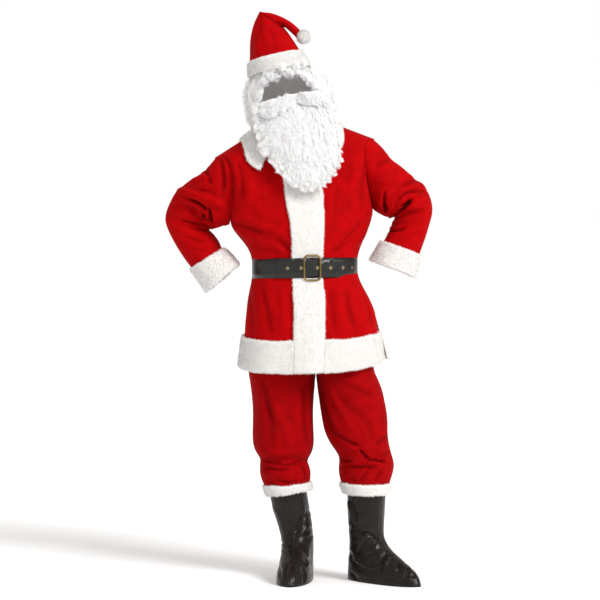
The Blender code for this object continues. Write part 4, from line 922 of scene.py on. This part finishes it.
def samplePlaces(mesh, count, seed, wanted):
    # seeded places spread evenly over the faces for which wanted(points, normals) holds
    points, _ = readMesh(mesh)
    mesh.calc_loop_triangles()
    corners = np.empty(len(mesh.loop_triangles) * 3, np.int64)
    mesh.loop_triangles.foreach_get("vertices", corners)
    a, b, c = (points[corners.reshape(-1, 3)[:, k]] for k in range(3))
    normals = np.cross(b - a, c - a)
    area = np.linalg.norm(normals, axis=1) / 2
    normals = unit(normals)
    area = area * wanted((a + b + c) / 3, normals)
    chance = np.random.default_rng(seed)
    places = (np.arange(count) + chance.random(count)) / count * area.sum()
    chosen = np.minimum(np.searchsorted(np.cumsum(area), places), len(area) - 1)
    u, v = chance.random(count), chance.random(count)
    flip = u + v > 1
    u, v = np.where(flip, 1 - u, u)[:, None], np.where(flip, 1 - v, v)[:, None]
    found = a[chosen] + u * (b - a)[chosen] + v * (c - a)[chosen]
    return found, normals[chosen], chance


def stripMesh(name, left, right):
    # each strip is a row of left points and a row of right points, as (strips, points, 3)
    strips, steps, _ = left.shape
    points = np.concatenate([left, right], axis=1).reshape(-1, 3)
    base = (np.arange(strips) * 2 * steps)[:, None]
    k = np.arange(steps - 1)[None, :]
    quads = np.stack([base + k, base + k + 1, base + steps + k + 1, base + steps + k], axis=-1).reshape(-1, 4)
    mesh = bpy.data.meshes.new(name)
    mesh.vertices.add(len(points))
    mesh.vertices.foreach_set("co", points.astype(np.float32).ravel())
    mesh.loops.add(quads.size)
    mesh.loops.foreach_set("vertex_index", quads.astype(np.int32).ravel())
    mesh.polygons.add(len(quads))
    mesh.polygons.foreach_set("loop_start", np.arange(0, quads.size, 4, dtype=np.int32))
    mesh.update(calc_edges=True)
    mesh.shade_smooth()
    return mesh


# how near the skin has to be, and how much of its direction and its place each step takes on
guideSetup = {"reach": 0.012, "facing": 0.1, "turn": 0.45, "hold": 0.65}


def growGuides(mesh, roots, normals, flow, lengths, steps, outwardFrom):
    # paths that start at the roots and run over the surface as flow(points) says
    surface = surfaceOf(mesh)
    path, face = [roots], [normals]
    here, up = roots.copy(), normals.copy()
    turn, hold = guideSetup["turn"], guideSetup["hold"]
    for _ in range(steps):
        way = flow(here)
        way = unit(way - up * np.sum(way * up, axis=1, keepdims=True))
        here = here + way * (lengths / steps)[:, None]
        fixed, turned = here.copy(), up.copy()
        for k, point in enumerate(here):
            near, normal, _, away = surface.find_nearest(Vector(point))
            if near is not None and away < guideSetup["reach"]:
                fixed[k] = near
                turned[k] = normal
        out = unit(here - nearestOnAxis(here, outwardFrom))
        outer = np.sum(turned * out, axis=1, keepdims=True) > guideSetup["facing"]
        up = unit((1 - turn) * up + turn * np.where(outer, turned, up))
        here = (1 - hold) * here + hold * fixed
        path.append(here)
        face.append(up)
    return np.stack(path, axis=1), np.stack(face, axis=1)


def between(chance, limits, owner):
    # one value for each lock, in metres, handed on to its strands
    low, high = limits
    return (low + (high - low) * chance.random(owner[-1] + 1))[owner][:, None] * millimetre


# how small the curl is at its ends, the gap to the skin, the size and spread of strays, and the root
lockShape = {"endCurl": 0.35, "skinGap": 0.0004, "straySize": 0.011, "strayStart": 0.05, "rootDepth": 0.0015}


def locks(name, chance, guides, faces, settings):
    # strands in each lock share its path, its curl and most of its phase
    count = len(guides)
    owner = np.repeat(np.arange(count), settings["strands"])
    path, up = guides[owner], faces[owner]
    side = unit(np.cross(unit(np.gradient(path, axis=1)), up))
    total = len(owner)
    length = np.linalg.norm(np.diff(path, axis=1), axis=2)
    walked = np.concatenate([np.zeros((total, 1)), np.cumsum(length, axis=1)], axis=1)
    share = walked / np.maximum(walked[:, -1:], 1e-6)
    radius = between(chance, settings["curl"], owner)
    fuller = (1 - lockShape["endCurl"]) * np.sin(np.pi * np.clip(share * 0.9 + 0.08, 0, 1))
    radius = radius * (lockShape["endCurl"] + fuller)
    wave = between(chance, settings["wave"], owner)
    hand = np.where(chance.random(count) < 0.5, -1.0, 1.0)[owner][:, None]
    phase = (chance.random(count) * 2 * np.pi)[owner] + chance.normal(0, settings["loose"], total)
    turn = hand * 2 * np.pi * walked / wave + phase[:, None]
    spread = settings["spread"] * millimetre
    across = chance.normal(0, spread, total)[:, None] * (1 - settings["gather"] * share)
    above = np.abs(chance.normal(0, spread * 0.6, total))[:, None] * (1 - 0.5 * share)
    lift = (0.5 + 2.5 * chance.random(count) ** 3)[owner][:, None]
    rise = settings["rise"] * lift * millimetre * np.sin(np.pi * share * 0.9)
    height = above + radius * (1 + np.cos(turn)) * settings["flat"] + rise + lockShape["skinGap"]
    place = path + up * height[:, :, None] + side * (across + radius * np.sin(turn))[:, :, None]
    # each strand strays by itself toward its tip, and its root lies under the skin
    own = (place + chance.normal(0, lockShape["strayStart"], (total, 1, 3))).reshape(-1, 3)
    for axis in range(3):
        stray = softNoise(own, lockShape["straySize"], 91 + axis).reshape(total, -1)
        place[:, :, axis] += stray * share * settings["frizz"] * millimetre
    place[:, 0] -= up[:, 0] * lockShape["rootDepth"]
    wide = unit(np.cross(unit(np.gradient(place, axis=1)), up))
    taper = np.clip(1.15 - share, 0.12, 1.0) ** 0.6 * np.clip(0.5 + share * 6, 0, 1)
    half = settings["width"] * millimetre / 2 * (0.7 + 0.6 * chance.random(total))[:, None] * taper
    return stripMesh(name, place - wide * half[:, :, None], place + wide * half[:, :, None])


headAxis = [(-0.10, 0.02, 0.28), (-0.062, 0.01, 0.165), (-0.05, 0.03, 0.02), (-0.03, 0.06, -0.22)]


def offHead(points, normals):
    # 1 where the hair faces straight away from the head, and -1 where it faces the head
    return np.sum(unit(points - nearestOnAxis(points, headAxis)) * normals, axis=1)


def flowAlong(across, forward, down):
    # the way that hair lies: to the wearer's left, to the back and up
    return np.stack(np.broadcast_arrays(across, forward, down), axis=1)


def beardFlow(points):
    fan = (points[:, 0] + 0.03) * 2.2
    return flowAlong(fan + softNoise(points, 0.03, 51) * 0.35, -0.05, -1.0)


def wigFlow(points):
    sway = softNoise(points, 0.035, 52) * 0.45
    front = np.where(points[:, 1] < 0, -0.25, 0.0) + softNoise(points, 0.04, 53) * 0.4
    return flowAlong((points[:, 0] + 0.05) * 2.0 + sway, front, -1.0)


def fringeFlow(points):
    sway = softNoise(points, 0.018, 54) * 1.2
    return flowAlong(sway + (points[:, 0] + 0.07) * 4, -0.2, -0.8)


def moustacheFlow(points):
    across = points[:, 0] + 0.038
    side = np.sign(across) * np.clip(np.abs(across) * 60, 0.3, 1.0)
    return flowAlong(side * 0.6, -0.1, -0.8 - np.abs(across) * 14 + softNoise(points, 0.02, 55) * 0.5)


def outerThan(least):
    # picks the places that face away from the head by more than this
    return lambda points, normals: offHead(points, normals) > least


# lengths are in mm, but for the size of a puff, which comes before its height and is in metres
hairPieces = {
    "beard": {
        "locks": 820, "strands": 9, "length": (24, 48), "steps": 9, "flow": beardFlow, "inset": 4.0,
        "curl": (1.8, 4.2), "wave": (18, 34), "loose": 0.9, "spread": 3.4, "gather": 0.3, "flat": 0.6,
        "rise": 1.6, "width": 1.0, "frizz": 2.4, "puffs": (0.026, 2.2), "least": 0.05,
    },
    "wig": {
        "locks": 500, "strands": 8, "length": (30, 58), "steps": 10, "flow": wigFlow, "inset": 4.0,
        "curl": (3.0, 6.5), "wave": (22, 40), "loose": 0.6, "spread": 3.2, "gather": 0.4, "flat": 0.8,
        "rise": 2.0, "width": 1.0, "frizz": 2.2, "puffs": (0.026, 3.0), "least": -0.25,
        "fuller": {"at": (249, 80), "reach": 0.035, "height": 6.0},
    },
    "wig_fringe": {
        "locks": 180, "strands": 9, "length": (22, 38), "steps": 9, "flow": fringeFlow, "inset": 0.0,
        "curl": (3.0, 5.6), "wave": (20, 30), "loose": 0.6, "spread": 3.0, "gather": 0.4, "flat": 0.9,
        "rise": 4.0, "width": 0.9, "frizz": 1.6, "puffs": (0.024, 4.4), "least": -0.3,
    },
    "moustache": {
        "locks": 260, "strands": 10, "length": (36, 74), "steps": 10, "flow": moustacheFlow, "inset": 6.5,
        "curl": (1.8, 4.4), "wave": (20, 36), "loose": 0.9, "spread": 6.0, "gather": 0.0, "flat": 0.7,
        "rise": 3.0, "width": 0.9, "frizz": 4.6, "puffs": (0.016, 1.6), "least": -0.2,
    },
}

for number, (name, settings) in enumerate(hairPieces.items()):
    mesh = fineMesh(name, 0.0)
    points, normals = readMesh(mesh)
    inset = softStep(offHead(points, normals), 0.0, 0.5) * settings["inset"]
    fuller = settings.get("fuller")
    if fuller:
        away = np.linalg.norm(onFrontView(points) - drawn(*fuller["at"]), axis=1)
        inset = inset - fuller["height"] * np.exp(-((away / fuller["reach"]) ** 2))
    size, swell = settings["puffs"]
    points += normals * ((softNoise(points, size, 41) * swell - inset) * millimetre)[:, None]
    writeMesh(mesh, points)
    pieces[name] = addPiece(name + "_base", mesh, hair, [name])
    outer = outerThan(settings["least"])
    roots, normals, chance = samplePlaces(mesh, settings["locks"], 60 + number, outer)
    shortest, longest = settings["length"]
    lengths = (shortest + (longest - shortest) * chance.random(len(roots))) * millimetre
    guides, faces = growGuides(mesh, roots, normals, settings["flow"], lengths, settings["steps"], headAxis)
    strands = locks(name + "_strands", chance, guides, faces, settings)
    addPiece(name + "_strands", strands, hair, [name])
    print(name, len(strands.polygons) * 2)

# The beard's curls, the fringe's puffs and the moustache's tangles are drawn like the creases.
# Columns: centre (across, down), radius in mm, turns, first angle in degrees, drift (across, down) in mm.
ringlets = [
    (271, 160, 6.5, 1.3, 200, 6, 9),
    (275, 163, 7.5, 1.4, 120, 8, 10),
    (279, 160, 6.0, 1.2, 20, 4, 12),
    (277, 169, 7.0, 1.3, 260, 9, 6),
    (282, 167, 6.5, 1.5, 160, 6, 8),
    (285, 174, 7.0, 1.3, 60, 8, 8),
    (273, 156, 5.5, 1.2, 300, 4, 8),
    (289, 178, 6.0, 1.2, 180, 8, 10),
    (340, 160, 6.0, 1.4, 300, 6, 2),
    (338, 165, 5.5, 1.2, 20, 4, 6),
    (334, 173, 6.0, 1.2, 90, 5, 8),
    (329, 179, 6.5, 1.2, 30, 2, 12),
    (324, 183, 6.0, 1.0, 350, 4, 14),
    (320, 186, 5.5, 0.9, 20, 6, 14),
    (312, 187, 5.5, 1.0, 60, 2, 14),
    (303, 187, 5.5, 1.0, 120, -2, 14),
    (296, 184, 5.5, 1.1, 200, 2, 12),
    (307, 183, 6.5, 1.2, 240, 3, 12),
    (317, 181, 6.5, 1.2, 300, -3, 12),
    (259, 120, 8.0, 1.2, 150, 2, 8),
    (262, 128, 8.5, 1.2, 40, 4, 8),
    (260, 136, 7.5, 1.3, 210, 3, 10),
    (265, 143, 8.5, 1.2, 110, 4, 8),
    (267, 150, 8.0, 1.3, 330, 4, 8),
    (339, 128, 8.0, 1.2, 20, -4, 10),
    (341, 140, 7.5, 1.2, 320, -3, 10),
    (342, 151, 7.0, 1.2, 350, -2, 10),
]
puffs = [
    (255, 81, 10, 1.1, 100, -2, 9),
    (261, 76, 13, 1.0, 20, -2, 8),
    (268, 72, 13, 1.0, 200, 0, 7),
    (275, 70, 13, 1.0, 80, 2, 5),
    (282, 67, 12, 1.0, 250, 2, 5),
    (289, 68, 13, 1.0, 140, 2, 5),
    (296, 66, 13, 1.0, 330, 2, 5),
    (303, 64, 12, 1.0, 60, 3, 5),
    (309, 66, 11, 1.0, 200, 4, 7),
    (314, 71, 10, 1.0, 20, 3, 9),
    (265, 80, 11, 1.0, 300, -2, 6),
    (273, 77, 10, 1.0, 0, -3, 6),
    (287, 72, 10, 1.0, 160, 1, 5),
    (297, 71, 10, 1.0, 240, 2, 4),
    (252, 88, 9, 1.0, 60, -3, 10),
]
tangles = [
    (256, 106, 10, 1.0, 60, 2, 9),
    (264, 112, 11, 1.0, 60, 2, 9),
    (273, 112, 11, 1.0, 160, 2, 9),
    (282, 109, 11, 1.0, 260, 3, 9),
    (291, 106, 11, 1.0, 0, 3, 9),
    (300, 101, 10, 1.0, 60, 2, 8),
    (308, 97, 8, 1.0, 120, 2, 8),
    (317, 98, 9, 1.0, 60, -2, 8),
    (326, 102, 10, 1.0, 60, -2, 8),
    (335, 104, 10, 1.0, 60, -2, 8),
    (338, 116, 10, 1.0, 200, -2, 9),
    (256, 118, 10, 1.0, 200, 2, 9),
    (252, 110, 12, 1.0, 20, 2, 9),
    (257, 127, 12, 1.0, 20, 3, 10),
    (259, 136, 12, 1.0, 120, 3, 10),
    (261, 145, 12, 1.0, 220, 3, 10),
    (264, 153, 11, 1.0, 320, 3, 10),
]


# each has its drawing, its node, the pieces that it lies on, its strands and steps, and how loose it is
curlPieces = {
    "beard_curls": {
        "drawing": ringlets, "node": "beard", "over": ["beard"],
        "strands": 12, "steps": 16, "mess": 0.3, "seed": 58,
    },
    "fringe_puffs": {
        "drawing": puffs, "node": "wig_fringe", "over": ["wig_fringe", "hat_trim"],
        "strands": 46, "steps": 12, "mess": 0.8, "seed": 59,
    },
    "moustache_tangles": {
        "drawing": tangles, "node": "beard", "over": ["moustache", "beard"],
        "strands": 30, "steps": 12, "mess": 0.8, "seed": 61,
    },
}


curlShape = {"beside": 0.005, "neighbours": 6, "above": 0.003, "coil": 0.45, "half": 0.55}


def ontoHair(flat, form, formView):
    # moves a drawn centre so that it isn't far beside the hair, and finds the hair's depth there
    away = np.linalg.norm(formView - flat, axis=1)
    nearest = np.argsort(away)[: curlShape["neighbours"]]
    share = min(1.0, curlShape["beside"] / away[nearest[0]])
    flat = formView[nearest[0]] + (flat - formView[nearest[0]]) * share
    return flat, form[nearest, 1].min() - curlShape["above"]


def ringletStrands(name, settings):
    chance = np.random.default_rng(settings["seed"])
    mess = settings["mess"]
    form = np.concatenate([readMesh(pieces[each].data)[0] for each in settings["over"]])
    formView = onFrontView(form)
    share = np.linspace(0, 1, settings["steps"])
    left, right = [], []
    for across, down, radius, turns, first, driftAcross, driftDown in settings["drawing"]:
        flat, front = ontoHair(drawn(across, down), form, formView)
        x, z = offFrontView(flat, front)
        for _ in range(settings["strands"]):
            angle = math.radians(first) + chance.normal(0, 0.25 + 2.5 * mess) + share * turns * 2 * math.pi
            narrower = 1.1 - curlShape["coil"] * share
            reach = radius * (1 - (0.1 + mess) * chance.random()) * narrower * millimetre
            at = chance.normal(0, 1.4 + 2.6 * mess, 2) * millimetre
            dome = mess * 0.8 * (radius * millimetre - reach)
            bulge = 0.002 + 0.005 * np.abs(np.sin(angle)) + 0.002 * chance.random()
            path = np.stack([
                x + at[0] + reach * np.cos(angle) + driftAcross * share * millimetre,
                front - dome - bulge + 0.003 * share,
                z + at[1] + reach * np.sin(angle) - driftDown * share * millimetre,
            ], axis=1)
            wide = unit(np.cross(unit(np.gradient(path, axis=0)), np.array([[0.0, -1.0, 0.25]])))
            half = curlShape["half"] * millimetre * (1.05 - share)[:, None] ** 0.5
            left.append(path - wide * half)
            right.append(path + wide * half)
    return stripMesh(name, np.array(left), np.array(right))


curlTriangles = 0
for name, settings in curlPieces.items():
    curls = ringletStrands(name, settings)
    addPiece(name, curls, hair, [settings["node"]])
    curlTriangles += len(curls.polygons) * 2
print("curls", curlTriangles)


def furFlow(points, normals, chance):
    way = np.array([[0.0, 0.0, -1.0]]) + chance.normal(0, 0.45, points.shape)
    way[:, 0] += softNoise(points, 0.02, 71) * 0.5
    return unit(way - normals * np.sum(way * normals, axis=1, keepdims=True))


tuftSetup = {
    "length": (5.0, 8.5),  # in mm, as is the half width
    "half": 0.6,
    "lean": (0.45, 0.85),
    "turn": 0.3,
    "root": 0.001,  # how far under the skin a tuft starts
    "facing": -0.25,
    "cover": 0.03,  # none grows where a cover lies this near
    "vent": 900,
}


def pile(name, mesh, count, seed, shown):
    # short tapered tufts that bend over the way the fur lies
    roots, normals, chance = samplePlaces(mesh, count, seed, shown)
    way = furFlow(roots, normals, chance)
    (short, long), (least, most) = tuftSetup["length"], tuftSetup["lean"]
    long = (short + (long - short) * chance.random(len(roots)))[:, None] * millimetre
    lean = (least + (most - least) * chance.random(len(roots)))[:, None]
    bend = roots + way * long * 0.5 * lean + normals * long * 0.42
    tip = roots + way * long * (0.6 + 0.5 * lean) + normals * long * 0.45
    turned = chance.normal(0, tuftSetup["turn"], roots.shape)
    wide = unit(np.cross(way, normals) + turned) * (tuftSetup["half"] * millimetre)
    sunk = normals * tuftSetup["root"]
    left = np.stack([roots - wide - sunk, bend - wide * 0.8, tip - wide * 0.08], axis=1)
    right = np.stack([roots + wide - sunk, bend + wide * 0.8, tip + wide * 0.08], axis=1)
    return stripMesh(name + "_pile", left, right)


def standingOff(name, middle):
    # picks the places on the outer side that no belt or beard covers
    def shown(points, normals):
        out = unit(points - nearestOnAxis(points, middle))
        bare = np.sum(out * normals, axis=1) > tuftSetup["facing"]
        if name in ("front_trim", "collar"):
            for k, (point, normal) in enumerate(zip(points, normals)):
                start = point + normal * 0.001
                bare[k] &= all(each.ray_cast(start, normal, tuftSetup["cover"])[0] is None for each in covers)
        return bare

    return shown


covers = [beltForm, nodeSurface("beard")]
pileTriangles = 0
for number, (name, (flat, count, middle)) in enumerate(plushPieces.items()):
    strips = pile(name, pieces[name].data, count, 80 + number, standingOff(name, middle))
    fur = addPiece(name + "_pile", strips, plush, [name])
    pileTriangles += len(strips.polygons) * 2
strips = pile("vent", pieces["jacket_back"].data, tuftSetup["vent"], 97, inVent)
fur = addPiece("vent_pile", strips, plush, ["jacket_back"])
width, length, area = velourPieces["jacket_back"][-1]
print("pile", pileTriangles)

# boots, belt and metal

bootSetup = {"waves": 0.9, "splits": 2, "flat": (0.30, 0.40), "area": 0.088}  # for each half
bootAxes = {
    "right": [(-0.045, 0.0, -1.15), (-0.03, -0.01, -1.35), (-0.03, -0.05, -1.45)],
    "left": [(0.205, -0.05, -1.12), (0.20, -0.05, -1.35), (0.24, -0.09, -1.45)],
}
bootNames = []
for side, axis in bootAxes.items():
    for half in ("inner", "outer"):
        name = f"boot_cover_{side}_{half}"
        bootNames.append(name)
        mesh = foldedMesh(name, tubeOutward(axis), bootCreases, bootSetup["waves"], bootSetup["splits"])
        pieces[name] = addPiece(name + "_cloth", mesh, bootSkin, [name])
print("boots", sum(len(pieces[name].data.polygons) for name in bootNames))
beltStrap = addPiece("belt_strap", fineMesh("belt"), beltSkin, ["belt"])
for name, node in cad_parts.items():
    if name in ("buckle", "prong") or name.startswith("eyelet"):
        node.data.materials.clear()
        node.data.materials.append(paleBrass if name.startswith("eyelet") else antiqueBrass)

meshes = [each.data for each in bpy.context.scene.objects if each.type == "MESH"]
print("triangles", sum(len(face.vertices) - 2 for mesh in meshes for face in mesh.polygons))
